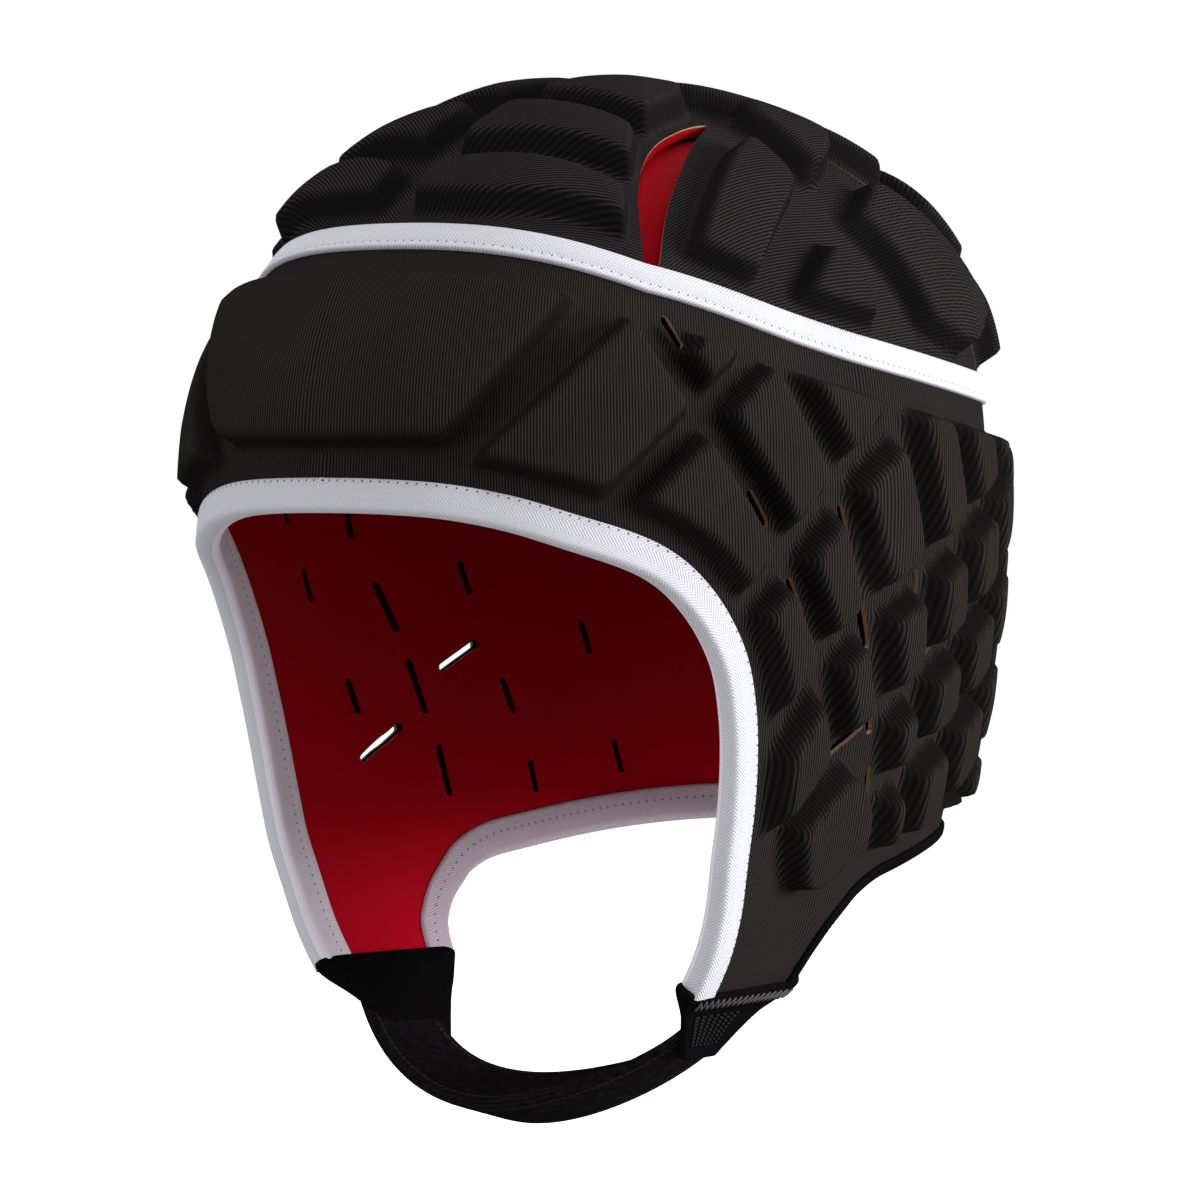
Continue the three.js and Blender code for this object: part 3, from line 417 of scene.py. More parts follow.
def makeMesh(name, points, faces, uv, materials, faceSlots=None, cornerUv=None):
    mesh = bpy.data.meshes.new(name)
    faces = faces.tolist() if hasattr(faces, "tolist") else faces
    mesh.from_pydata((np.asarray(points) * 0.001).tolist(), [], faces)
    layer = mesh.uv_layers.new(name="weave")
    loops = np.zeros(len(mesh.loops), np.int32)
    mesh.loops.foreach_get("vertex_index", loops)
    flatUv = np.asarray(uv)[loops] if cornerUv is None else cornerUv
    layer.data.foreach_set("uv", (flatUv * 0.1).astype(np.float32).ravel())
    mesh.polygons.foreach_set("use_smooth", np.ones(len(mesh.polygons), bool))
    if faceSlots is not None:
        mesh.polygons.foreach_set("material_index", np.asarray(faceSlots, np.int32))
    for material in materials:
        mesh.materials.append(material)
    mesh.update()
    piece = bpy.data.objects.new(name, mesh)
    bpy.context.scene.collection.objects.link(piece)
    return piece


# How far up its pad each point lies, from 0 in the groove to 1 on top; the ribbed cloth paints shade on the pad
# sides from it.
def setRise(piece, lift):
    rise = np.zeros(len(piece.data.vertices), np.float32)
    rise[:len(lift)] = np.clip(lift / pad["height"], 0, 1)
    piece.data.attributes.new("rise", "FLOAT", "POINT").data.foreach_set("value", rise)


# Adds the cut wall below border edges, a strip for each step of lifts.
def withWalls(points, quads, border, lifts, place):
    ids = np.unique(border)
    lookup = {int(v): k for k, v in enumerate(ids)}
    strips = [place(ids, lift) for lift in lifts]
    start = len(points)
    allPoints = np.concatenate([points] + strips)
    walls = []
    for step in range(len(lifts) - 1):
        base = start + step * len(ids)
        for a, b in border:
            ka, kb = base + lookup[int(a)], base + lookup[int(b)]
            walls.append((kb, ka, ka + len(ids), kb + len(ids)))
    return allPoints, np.concatenate([quads, np.array(walls, int).reshape(-1, 4)]), len(walls)


# Shader helpers: a node tree is written as short calls
class Shade:
    def __init__(self, name, base, roughness, specular=0.0):
        self.material = bpy.data.materials.new(name)
        self.material.use_nodes = True
        self.tree = self.material.node_tree
        self.shader = self.tree.nodes["Principled BSDF"]
        self.shader.inputs["Base Color"].default_value = (*base, 1)
        self.shader.inputs["Roughness"].default_value = roughness
        self.shader.inputs["Specular IOR Level"].default_value = specular

    def node(self, kind, **settings):
        node = self.tree.nodes.new(kind)
        for key, value in settings.items():
            setattr(node, key, value)
        return node

    def feed(self, socket, value):
        if isinstance(value, (int, float, tuple)):
            socket.default_value = value
        else:
            self.tree.links.new(value, socket)

    def math(self, operation, a, b=0.0, c=0.0):
        node = self.node("ShaderNodeMath", operation=operation)
        for socket, value in zip(node.inputs, (a, b, c)):
            self.feed(socket, value)
        return node.outputs[0]

    def uv(self):
        split = self.node("ShaderNodeSeparateXYZ")
        self.tree.links.new(self.node("ShaderNodeUVMap", uv_map="weave").outputs[0], split.inputs[0])
        return self.math("MULTIPLY", split.outputs[0], 10.0), self.math("MULTIPLY", split.outputs[1], 10.0)

    def noise(self, scale, detail=3.0, roughness=0.5):
        place = self.node("ShaderNodeTexCoord").outputs["Object"]
        node = self.node("ShaderNodeTexNoise")
        self.feed(node.inputs["Vector"], place)
        self.feed(node.inputs["Scale"], scale)
        self.feed(node.inputs["Detail"], detail)
        self.feed(node.inputs["Roughness"], roughness)
        return node.outputs["Fac"]

    def mix(self, share, a, b):
        node = self.node("ShaderNodeMix", data_type="RGBA")
        self.feed(node.inputs[0], share)
        for socket, value in ((node.inputs[6], a), (node.inputs[7], b)):
            self.feed(socket, (*value, 1) if isinstance(value, tuple) else value)
        return node.outputs[2]

    # A smooth wave between 0 and 1.
    def wave(self, value, pitch):
        turned = self.math("MULTIPLY", value, 2 * math.pi / pitch)
        return self.math("MULTIPLY_ADD", self.math("SINE", turned), 0.5, 0.5)

    def colour(self, value):
        self.feed(self.shader.inputs["Base Color"], value)

    def bump(self, height, distance, strength=1.0):
        node = self.node("ShaderNodeBump")
        self.feed(node.inputs["Height"], height)
        self.feed(node.inputs["Distance"], distance)
        self.feed(node.inputs["Strength"], strength)
        self.feed(self.shader.inputs["Normal"], node.outputs[0])
        return self.material


# Painted shade: the pad sides are mixed toward the near-black slope colour, up to its share.
ribs = {
    "pitch": 0.78, "valley": (0.0050, 0.0046, 0.0046), "crest": (0.0330, 0.0302, 0.0290), "depth": 0.00004,
    "crossPitch": 0.42, "roughness": 0.8, "slope": (0.0058, 0.0054, 0.0054), "slopeShare": 0.78,
}


def ribbedCloth(name, tint):
    shade = Shade(name, ribs["crest"], ribs["roughness"])
    u, v = shade.uv()
    wander = shade.math("MULTIPLY", shade.noise(60.0, 2.0), 0.15)
    rib = shade.wave(shade.math("ADD", u, wander), ribs["pitch"])
    rise = shade.node("ShaderNodeAttribute", attribute_name="rise").outputs["Fac"]
    # Painted shade mask: 0 on pad tops and groove floors, rising on the pad sides, where the colour is darkened and
    # the bump flattened.
    upTo = shade.math("MINIMUM", shade.math("MULTIPLY", rise, 4.0), shade.math("MULTIPLY_ADD", rise, -4.0, 4.0))
    slope = shade.math("MULTIPLY", shade.math("MINIMUM", shade.math("MAXIMUM", upTo, 0.0), 1.0), ribs["slopeShare"])
    thread = shade.wave(shade.math("ADD", v, shade.math("MULTIPLY", u, 0.7)), ribs["crossPitch"])
    height = shade.math("ADD", rib, shade.math("MULTIPLY", thread, 0.3))
    crest = tuple(c * t for c, t in zip(ribs["crest"], tint))
    share = shade.math("MULTIPLY", shade.math("POWER", rib, 1.3), shade.math("MULTIPLY_ADD", thread, 0.3, 0.7))
    patch = shade.math("MULTIPLY_ADD", shade.noise(35.0, 4.0, 0.6), 0.5, 0.7)
    cloth = shade.mix(share, ribs["valley"], crest)
    dulled = shade.mix(shade.math("MINIMUM", patch, 1.0), ribs["valley"], cloth)
    shade.colour(shade.mix(slope, dulled, ribs["slope"]))
    return shade.bump(shade.math("MULTIPLY", height, shade.math("MULTIPLY_ADD", slope, -1.0, 1.0)), ribs["depth"])


def plainCloth(name, base, dark, pitch, depth, roughness=0.8):
    shade = Shade(name, base, roughness)
    u, v = shade.uv()
    knit = shade.math("MULTIPLY", shade.wave(u, pitch), shade.wave(v, pitch))
    patch = shade.noise(40.0, 4.0)
    shade.colour(shade.mix(shade.math("MULTIPLY_ADD", knit, 0.35, shade.math("MULTIPLY", patch, 0.6)), dark, base))
    return shade.bump(knit, depth)


# Brushed black webbing with a row of reddish brown stitches near each side.
def stitchedWebbing():
    shade = Shade("strapWebbing", (0.0120, 0.0110, 0.0122), 0.75)
    u, v = shade.uv()
    fuzz = shade.math("POWER", shade.noise(420.0, 4.0, 0.8), 1.8)
    side = shade.math("ABSOLUTE", shade.math("SUBTRACT", shade.math("ABSOLUTE", v), 8.9))
    row = shade.math("LESS_THAN", side, 0.28)
    dash = shade.math("LESS_THAN", shade.math("PINGPONG", u, 1.0), 0.72)
    cloth = shade.mix(fuzz, (0.0010, 0.0009, 0.0010), (0.0230, 0.0212, 0.0232))
    shade.colour(shade.mix(shade.math("MULTIPLY", row, dash), cloth, (0.034, 0.021, 0.018)))
    return shade.bump(shade.math("SUBTRACT", fuzz, shade.math("MULTIPLY", row, 0.8)), 0.00025)


lining = {
    "high": (0.36, 0.0005, 0.0062), "low": (0.57, 0.0010, 0.015), "from": -0.11, "to": -0.215,
    "pitch": 0.5, "depth": 0.00005,
}


# Deep red knit, brighter low on the flaps, where more light reaches it.
def redLining():
    shade = Shade("liningCloth", lining["high"], 0.75, specular=0.05)
    u, v = shade.uv()
    split = shade.node("ShaderNodeSeparateXYZ")
    shade.tree.links.new(shade.node("ShaderNodeTexCoord").outputs["Object"], split.inputs[0])
    run = shade.node("ShaderNodeMapRange", interpolation_type="SMOOTHSTEP")
    shade.feed(run.inputs["Value"], split.outputs[2])
    shade.feed(run.inputs["From Min"], lining["from"])
    shade.feed(run.inputs["From Max"], lining["to"])
    knit = shade.math("MULTIPLY", shade.wave(u, lining["pitch"]), shade.wave(v, lining["pitch"]))
    patch = shade.math("MULTIPLY_ADD", shade.noise(26.0, 4.0), 0.5, shade.math("MULTIPLY", knit, 0.25))
    red = shade.mix(run.outputs[0], lining["high"], lining["low"])
    dark = shade.mix(run.outputs[0], tuple(c * 0.6 for c in lining["high"]), tuple(c * 0.7 for c in lining["low"]))
    shade.colour(shade.mix(patch, dark, red))
    return shade.bump(knit, lining["depth"])


tape = {
    "pitch": 0.85, "bone": 2.6, "base": (0.60, 0.605, 0.64), "dark": (0.42, 0.427, 0.48), "depth": 0.00012,
    "stitch": 2.3, "hole": 0.45,
}


# White herringbone tape; v runs across it in millimetres and stitchAt is its row of stitches.
def tapeCloth(name, stitchAt, tint=(1, 1, 1)):
    base, dark = [tuple(c * t for c, t in zip(tape[key], tint)) for key in ("base", "dark")]
    shade = Shade(name, base, 0.8, specular=0.1)
    u, v = shade.uv()
    fold = shade.math("PINGPONG", v, tape["bone"])
    twill = shade.wave(shade.math("ADD", u, fold), tape["pitch"])
    along = shade.math("PINGPONG", u, tape["stitch"] / 2)
    across = shade.math("ABSOLUTE", shade.math("SUBTRACT", v, stitchAt))
    away = shade.math("ADD", shade.math("MULTIPLY", along, along), shade.math("MULTIPLY", across, across))
    hole = shade.math("LESS_THAN", away, tape["hole"] ** 2 * 0.3)
    row = shade.math("LESS_THAN", across, 0.35)
    weave = shade.mix(shade.math("MULTIPLY_ADD", twill, 0.75, 0.25), dark, base)
    shade.colour(shade.mix(hole, weave, (0.10, 0.10, 0.13)))
    height = shade.math("SUBTRACT", shade.math("MULTIPLY", twill, 1.0), shade.math("MULTIPLY", row, 0.8))
    return shade.bump(shade.math("SUBTRACT", height, shade.math("MULTIPLY", hole, 1.5)), tape["depth"])


def foamCore():
    shade = Shade("foamCore", (0.30, 0.21, 0.12), 0.9, specular=0.05)
    cells = shade.noise(900.0, 2.0)
    shade.colour(shade.mix(cells, (0.20, 0.13, 0.065), (0.34, 0.25, 0.14)))
    return shade.bump(cells, 0.0002)


sideCloth = ribbedCloth("sideCloth", (1.0, 0.95, 0.90))
crownCloth = ribbedCloth("crownCloth", (0.93, 0.93, 0.97))
liningCloth = redLining()
blackWebbing = plainCloth("blackWebbing", (0.0085, 0.0078, 0.0085), (0.0015, 0.0014, 0.0016), 0.6, 0.00015, 0.75)
strapWebbing = stitchedWebbing()
threadGrey = plainCloth("threadGrey", (0.105, 0.10, 0.095), (0.06, 0.057, 0.054), 0.3, 0.00005, 0.7)
threadBlack = plainCloth("threadBlack", (0.022, 0.021, 0.022), (0.012, 0.011, 0.012), 0.3, 0.00005, 0.7)
# Near-black cloth of painted shade, for the lower walls of the vent slots and the inner slot plates.
slotShade = plainCloth("slotShade", (0.006, 0.004, 0.004), (0.003, 0.002, 0.002), 0.6, 0.00005, 0.9)
foam = foamCore()
seamTapeCloth = tapeCloth("seamTapeCloth", 5.6)
faceTapeCloth = tapeCloth("faceTapeCloth", 1.3)
napeTapeCloth = tapeCloth("napeTapeCloth", 14.0, (0.98, 0.80, 0.88))
# The inside of the face tape is the same white tape made brighter: painted light for the inside of the cap.
faceInsideLitTape = tapeCloth("faceInsideLitTape", 19.0, (1.38, 1.27, 1.30))

# Side panel and its lining, on one cut grid
sideGrid = {"columns": 640, "rows": 184}
cellArea = (360 * perDegree / sideGrid["columns"]) * 0.95
angles = np.linspace(-180, 180, sideGrid["columns"] + 1)[:-1]
gap = form["clearance"] / 2 / perStation
tops = seamStation(angles) + gap
shares = np.linspace(0, 1, sideGrid["rows"])[:, None]
stations = tops + (flapEnd - tops) * shares
sideFlat = flatOf(np.broadcast_to(angles, stations.shape), stations)

faceHole = np.concatenate([[(-20, faceFlat[0, 1])], faceFlat, [(faceFlat[-1, 0], farBelow), (-20, farBelow)]])
napeHole = np.concatenate([napeFlat, [(340, napeFlat[-1, 1]), (340, farBelow), (napeFlat[0, 0], farBelow)]])
cuts = [(faceHole, "both"), (napeHole, "both")]
nearOutlines = [roundedSlot(spot, tilt, length) for spot, tilt, length, first in nearSlots]
farOutlines = [roundedSlot(traced, tilt, length) for traced, tilt, length, spot in farSlots]
cuts += [(outline, None) for outline in nearOutlines] + [(outline, "mirrored") for outline in farOutlines]
flatPoints, quads = cutGrid(sideFlat, cuts, True)
flatPoints[:, 1] = np.minimum(flatPoints[:, 1], flapEnd * perStation)
used = np.unique(quads)
renumber = np.zeros(len(flatPoints), int)
renumber[used] = np.arange(len(used))
flatPoints, quads = flatPoints[used], renumber[quads]
sideAngle, sideStation = flatPoints[:, 0] / perDegree, flatPoints[:, 1] / perStation
folded = np.stack([np.abs(flatPoints[:, 0]), flatPoints[:, 1]], -1)
far = flatPoints[:, 0] < 0
padLift = np.zeros(len(flatPoints))
padLift[~far] = sideHeight(folded[~far])
blend = np.clip((folded[far][:, 0] - 40) / 60, 0, 1)[:, None]
padLift[far] = sideHeight(folded[far] + (farWarp(folded[far]) - folded[far]) * blend)
for outlines, where in ((nearOutlines, ~far), (farOutlines, far)):
    gapToSlot = np.full(where.sum(), np.inf)
    for outline in outlines:
        gapToSlot = np.minimum(gapToSlot, nearestOn(folded[where], outline)[0])
    t = np.clip((gapToSlot - slotClear["from"]) / (slotClear["to"] - slotClear["from"]), 0, 1)
    padLift[where] *= t * t * (3 - 2 * t)
border = borderEdges(quads)


slotBorder = border[alongOutline(border, flatPoints, nearOutlines + farOutlines)]


def placeSide(ids, lift):
    return raised(sideAngle[ids], sideStation[ids], np.full(len(ids), lift))


outer = raised(sideAngle, sideStation, padLift)
slotIds = np.unique(slotBorder)
wallSteps = [0, 0.4, 1]


def placeSideRim(ids, share):
    lifts = padLift[ids] - (padLift[ids] + form["foam"]) * share
    return raised(sideAngle[ids], sideStation[ids], lifts)


points, faces, wallCount = withWalls(outer, quads, slotBorder, wallSteps, placeSideRim)
plate = {"size": 1.25, "lifts": (-2.8, -3.3)}
plates = [(spot, turn, length, 1) for spot, turn, length, first in nearSlots if first > 0]
plates += [(traced, tilt, length, -1) for traced, tilt, length, spot in farSlots if tilt > 0]
uv = np.concatenate([flatPoints] + [flatPoints[slotIds]] * 3)
# The upper slot walls show the foam; the lower ones take the near-black cloth as painted shade.
slots = np.concatenate([np.zeros(len(quads), int), np.repeat([1, 2], wallCount // 2)])
side = makeMesh("sidePanel", points, faces, uv, [sideCloth, foam, slotShade], slots)
setRise(side, padLift)
liningFaces = quads[:, ::-1]
inner = raised(sideAngle, sideStation, np.full(len(sideAngle), -form["wall"]))
points, faces, wallCount = withWalls(inner, liningFaces, slotBorder, [-3.0, -form["wall"]], placeSide)
uv = uv[:len(points)]
sideLining = makeMesh("sideLining", points, faces, uv, [liningCloth])


# Thin closures behind the slots that the photograph shows shut: red outside, and a near-black plate of painted shade
# inside.
def slotPlates():
    points, faces, slots, uvs = [], [], [], []
    for spot, turn, length, hand in plates:
        outline = spot + (roundedSlot(spot, turn, length) - spot) * plate["size"]
        outline = outline * np.array([hand, 1])
        for slot, lift in enumerate(plate["lifts"]):
            ring = raised(outline[:, 0] / perDegree, outline[:, 1] / perStation, np.full(len(outline), lift))
            start = sum(len(p) for p in points)
            order = list(range(start, start + len(ring)))
            points.append(ring)
            uvs.append(outline)
            faces.append(order)
            slots.append(slot)
    return makeMesh("slotPlates", np.concatenate(points), faces, np.concatenate(uvs), [liningCloth, slotShade], slots)


slotBacks = slotPlates()
print("side panel:", len(quads), "quads; slot walls:", wallCount)

# Crown and its lining: a square grid drawn onto a disc
darts = [
    ([(0.77, -0.56), (0.64, -0.43), (0.555, -0.3), (0.49, -0.17), (0.41, 0)], 1.0),
    ([(0.79, 0.76), (0.64, 0.6), (0.51, 0.49), (0.38, 0.38)], 0.3),
]
dartWidth = 7.4
crownPads = [
    [(0.04, -0.745), (0.3, -0.71), (0.67, -0.545), (0.6, -0.47), (0.04, -0.62)],
    [(0.04, -0.585), (0.58, -0.435), (0.475, -0.31), (0.04, -0.36)],
    [(0.04, -0.32), (0.46, -0.27), (0.39, -0.05), (0.25, 0.09), (0.04, 0.05)],
    [(0.535, -0.02), (0.64, -0.24), (0.765, -0.46), (0.88, -0.31), (0.75, 0)],
    [(0.83, -0.02), (0.905, -0.22), (0.96, -0.05), (0.96, 0.11), (0.915, 0.08)],
    [(0.43, 0.06), (0.74, 0.04), (0.62, 0.26), (0.44, 0.43), (0.25, 0.22)],
    [(0.66, 0.29), (0.8, 0.07), (0.93, 0.26), (0.9, 0.46), (0.75, 0.68)],
    [(0.04, 0.11), (0.19, 0.15), (0.37, 0.38), (0.04, 0.44)],
    [(0.04, 0.48), (0.39, 0.42), (0.55, 0.57), (0.04, 0.68)],
    [(0.04, 0.72), (0.58, 0.61), (0.66, 0.72), (0.04, 0.9)],
    [(0.04, 0.93), (0.67, 0.75), (0.7, 0.8), (0.04, 0.99)],
]
sidePetal = np.array([
    (0.77, -0.56), (0.64, -0.43), (0.555, -0.3), (0.49, -0.17), (0.42, 0), (0.25, 0.12), (0.24, 0.22),
    (0.4, 0.4), (0.51, 0.49), (0.64, 0.6), (0.79, 0.76), (1.2, 1.2), (1.4, 0), (1.2, -1),
])
crownSize = 244
arcAngles, arcStations = np.linspace(0, 360, 361), np.linspace(0, 96, 385)
meridians = formPoint(arcAngles[:, None], arcStations[None, :])
arcs = np.concatenate([
    np.zeros((361, 1)), np.cumsum(np.linalg.norm(np.diff(meridians, axis=1), axis=-1), axis=1)], axis=1)


def crownFlat(angle, station):
    a = np.mod(np.asarray(angle, float), 360)
    s = np.clip(np.asarray(station, float) / 0.25, 0, 383.999)
    ai, si = np.floor(a).astype(int) % 360, np.floor(s).astype(int)
    fa, fs = a - np.floor(a), s - si
    low = arcs[ai, si] * (1 - fs) + arcs[ai, si + 1] * fs
    high = arcs[ai + 1, si] * (1 - fs) + arcs[ai + 1, si + 1] * fs
    arc = low * (1 - fa) + high * fa
    return np.stack([arc * np.sin(np.radians(a)), -arc * np.cos(np.radians(a))], -1)


# Angle and station of a point of the crown seen from above, given as shares.
def planToForm(x, y):
    reach = abs(y) if y < 0 else abs(y) * form["front"] / form["back"]
    low, high = 0.5, stationCount / 2
    for _ in range(40):
        middle = (low + high) / 2
        row = rowsAt(middle)
        limit = row[2] if y < 0 else row[3]
        inside = 1 - abs(x / row[1]) ** form["roundness"] - (reach / limit) ** form["roundness"]
        low, high = (low, middle) if inside > 0 else (middle, high)
    row = rowsAt(low)
    sine = abs(x / row[1]) ** (form["roundness"] / 2)
    cosine = (reach / (row[2] if y < 0 else row[3])) ** (form["roundness"] / 2)
    return math.degrees(math.atan2(sine * np.sign(x), -cosine * np.sign(y))), low


def planToFlat(plan):
    spots = np.array([planToForm(x, y) for x, y in plan])
    return crownFlat(spots[:, 0], spots[:, 1])


def dartOutline(line, width):
    plan = np.array(line) * np.array([form["halfWidth"], form["front"]])
    places = np.linspace(0, 1, 17)
    spine, ahead = splineAt(plan, places), splineAt(plan, np.clip(places + 0.01, 0, 1))
    behind = splineAt(plan, np.clip(places - 0.01, 0, 1))
    tangent = unit(ahead - behind)
    half = (0.08 + np.sin(math.pi * places ** 0.85)) * dartWidth * width / 2
    across = np.stack([-tangent[:, 1], tangent[:, 0]], -1) * half[:, None]
    loop = np.concatenate([spine + across, (spine - across)[::-1]])
    return planToFlat(loop / np.array([form["halfWidth"], form["front"]]))


steps = np.linspace(-1, 1, crownSize)
ga, gb = np.meshgrid(steps, steps)
radius = np.maximum(np.abs(ga), np.abs(gb))
wide = np.abs(ga) >= np.abs(gb)
turn = np.where(
    wide, math.pi / 4 * gb / np.where(wide, np.where(ga == 0, 1, ga), 1),
    math.pi / 2 - math.pi / 4 * ga / np.where(wide, 1, np.where(gb == 0, 1, gb)))
turn = turn + np.where(np.where(wide, ga < 0, gb < 0), math.pi, 0)
crownAngleGrid = np.degrees(turn) + 45
crownStationGrid = radius * (seamStation(crownAngleGrid) - gap)
grid = crownFlat(crownAngleGrid, crownStationGrid)
dartCuts = [(dartOutline(line, width), flip) for line, width in darts for flip in (None, "mirrored")]
movedFlat, crownQuads = cutGrid(grid, dartCuts, False)
used = np.unique(crownQuads)
renumber = np.zeros(len(movedFlat), int)
renumber[used] = np.arange(len(used))
movedFlat, crownQuads = movedFlat[used], renumber[crownQuads]
crownAngle = np.degrees(np.arctan2(movedFlat[:, 0], -movedFlat[:, 1]))
arcHere = np.linalg.norm(movedFlat, axis=1)
angleIndex = np.round(np.mod(crownAngle, 360)).astype(int)
crownStation = np.array([np.interp(r, arcs[i], arcStations) for r, i in zip(arcHere, angleIndex)])
crownStation = np.minimum(crownStation, seamStation(crownAngle) - gap)

mirrorFlat = movedFlat * np.where(movedFlat[:, :1] < 0, [[-1, 1]], [[1, 1]])
seamGap = (seamStation(crownAngle) - crownStation) * perStation - pad["seamBand"] / 2
crownLift = np.zeros(len(movedFlat))
for plan in crownPads:
    outline = planToFlat(plan)
    sides = sideDepths(mirrorFlat, outline)
    depth = softLeast([sides[:, i] for i in range(sides.shape[1])] + [seamGap], pad["corner"])
    crownLift = np.maximum(crownLift, padProfile(depth))

crownBorder = borderEdges(crownQuads)
dartBorder = crownBorder[alongOutline(crownBorder, mirrorFlat, [outline for outline, flip in dartCuts[::2]])]


def placeCrown(ids, share):
    lifts = crownLift[ids] - (crownLift[ids] + form["foam"]) * share
    return raised(crownAngle[ids], crownStation[ids], lifts)


crownOuter = raised(crownAngle, crownStation, crownLift)
points, faces, wallCount = withWalls(crownOuter, crownQuads, dartBorder, [0, 0.14, 1], placeCrown)
dartIds = np.unique(dartBorder)
uvAll = np.concatenate([movedFlat] + [movedFlat[dartIds]] * 3)
centres = formPoint(crownAngle, crownStation)[crownQuads].mean(1)
plan = np.stack([np.abs(centres[:, 0]) / form["halfWidth"], centres[:, 1] / form["front"]], -1)
onSide = insidePolygon(plan, sidePetal)
mirror = np.where(centres[:, 0] < 0, -1.0, 1.0)
ribAngle = np.where(onSide, 6.0, np.where(plan[:, 1] < 0.1, -50.0, 50.0))
ribAngle = np.concatenate([ribAngle, np.zeros(wallCount)])
mirror = np.concatenate([mirror, np.ones(wallCount)])
corner = uvAll[faces].copy()
corner[..., 0] *= mirror[:, None]
c, s = np.cos(np.radians(ribAngle))[:, None], np.sin(np.radians(ribAngle))[:, None]
cornerUv = np.stack([corner[..., 0] * c + corner[..., 1] * s, corner[..., 1] * c - corner[..., 0] * s], -1)
slots = np.concatenate([np.zeros(len(crownQuads), int), np.repeat([1, 2], wallCount // 2)])
crown = makeMesh("crownPanel", points, faces, None, [crownCloth, foam, liningCloth], slots, cornerUv.reshape(-1, 2))
setRise(crown, crownLift)

liningGrid = {"rings": 60, "turns": 240}
liningSteps = np.linspace(0, 1, liningGrid["rings"])[:, None]
ring = np.linspace(0, 360, liningGrid["turns"] + 1)[:-1]
liningStations = liningSteps * (seamStation(ring) - gap)
liningAngles = np.broadcast_to(ring, liningStations.shape)
liningPoints = raised(liningAngles, liningStations, np.full(liningStations.shape, -form["wall"]))
index = np.arange(liningStations.size).reshape(liningStations.shape)
right = np.roll(index, -1, axis=1)
liningFaces = np.stack([index[:-1], right[:-1], right[1:], index[1:]], -1).reshape(-1, 4)
liningUv = np.stack([liningPoints[..., 0], liningPoints[..., 1]], -1).reshape(-1, 2)
crownLining = makeMesh("crownLining", liningPoints.reshape(-1, 3), liningFaces, liningUv, [liningCloth])
print("crown:", len(crownQuads), "quads")


# Tapes: strips that follow the form beside an edge
# profile is rows of (distance into the cloth, lift); bands gives the material of each step.
def stripMesh(name, angle, station, profile, materials, bands=None, firstV=0.0):
    count = len(angle)
    base = formPoint(angle, station)
    tangent = unit(np.gradient(base, axis=0))
    flat = flatOf(angle, station)
    stepU, stepV = formPoint(angle + 0.3, station) - base, formPoint(angle, station + 0.3) - base
    normal = formNormal(angle, station)
    inward = unit(np.cross(normal, tangent))
    matrix = np.stack([stepU / (0.3 * perDegree), stepV / (0.3 * perStation)], -1)
    direction = np.array([np.linalg.lstsq(matrix[i], inward[i], rcond=None)[0] for i in range(count)])
    length = np.concatenate([[0], np.cumsum(np.linalg.norm(np.diff(base, axis=0), axis=1))])
    profile = np.array(profile, float)
    rows = []
    for distance, lift in profile:
        spot = flat + direction * max(distance, 0)
        place = raised(spot[:, 0] / perDegree, spot[:, 1] / perStation, np.full(count, lift))
        rows.append(place + inward * min(distance, 0))
    points = np.stack(rows, 1)
    across = firstV + np.concatenate([[0], np.cumsum(np.linalg.norm(np.diff(profile, axis=0), axis=1))])
    uv = np.stack(np.meshgrid(length, across, indexing="ij"), -1)
    index = np.arange(count * len(profile)).reshape(count, len(profile))
    faces = np.stack([index[:-1, :-1], index[:-1, 1:], index[1:, 1:], index[1:, :-1]], -1)
    slots = None if bands is None else np.broadcast_to(np.array(bands), faces.shape[:2]).reshape(-1)
    return makeMesh(name, points.reshape(-1, 3), faces.reshape(-1, 4), uv.reshape(-1, 2), materials, slots)


# Across a tape from its free outside edge, round the fold, to its free inside edge.
def foldProfile(outside, inside, top, low, bulge, turns=9):
    rows = [(outside, 0.05), (outside, 0.55), (outside - 0.4, top * 0.9)]
    rows += [(d, top) for d in np.linspace(outside - 1, 0.6, 8)]
    for turn in np.linspace(90, -90, turns):
        t = math.radians(turn)
        rows.append((-bulge * math.cos(t), (top + low) / 2 + (top - low) / 2 * math.sin(t)))
    rows += [(d, low) for d in np.linspace(0.6, inside - 1, 8)]
    return rows + [(inside - 0.4, low * 0.985), (inside, low + 0.6), (inside, low + 0.85)]


def fullEdge(line, count, atBack):
    fine = np.linspace(0, 1, 800)
    angle, station = halfEdge(line, 800)
    run = np.concatenate([[0], np.cumsum(np.linalg.norm(np.diff(formPoint(angle, station), axis=0), axis=1))])
    places = np.linspace(0, run[-1], count)
    angle, station = np.interp(places, run, angle), np.interp(places, run, station)
    if atBack:
        return np.concatenate([angle, 360 - angle[::-1][1:]]), np.concatenate([station, station[::-1][1:]])
    return np.concatenate([-angle[::-1], angle[1:]]), np.concatenate([station[::-1], station[1:]])


angle, station = fullEdge(faceLine, 330, False)
wrap = foldProfile(6.5, 8, 1.0, -5.0, 1.5)
bands = [0] * 16 + [1] * (len(wrap) - 17)
faceTape = stripMesh("faceTape", angle, station, wrap, [faceTapeCloth, faceInsideLitTape], bands)
angle, station = fullEdge(napeLine, 300, True)
hem = foldProfile(2.2, 7, 1.1, -5.0, 1.5)
bands = [0] * 14 + [1] * (len(hem) - 15)
napeTape = stripMesh("napeTape", angle, station, hem, [blackWebbing, napeTapeCloth], bands)

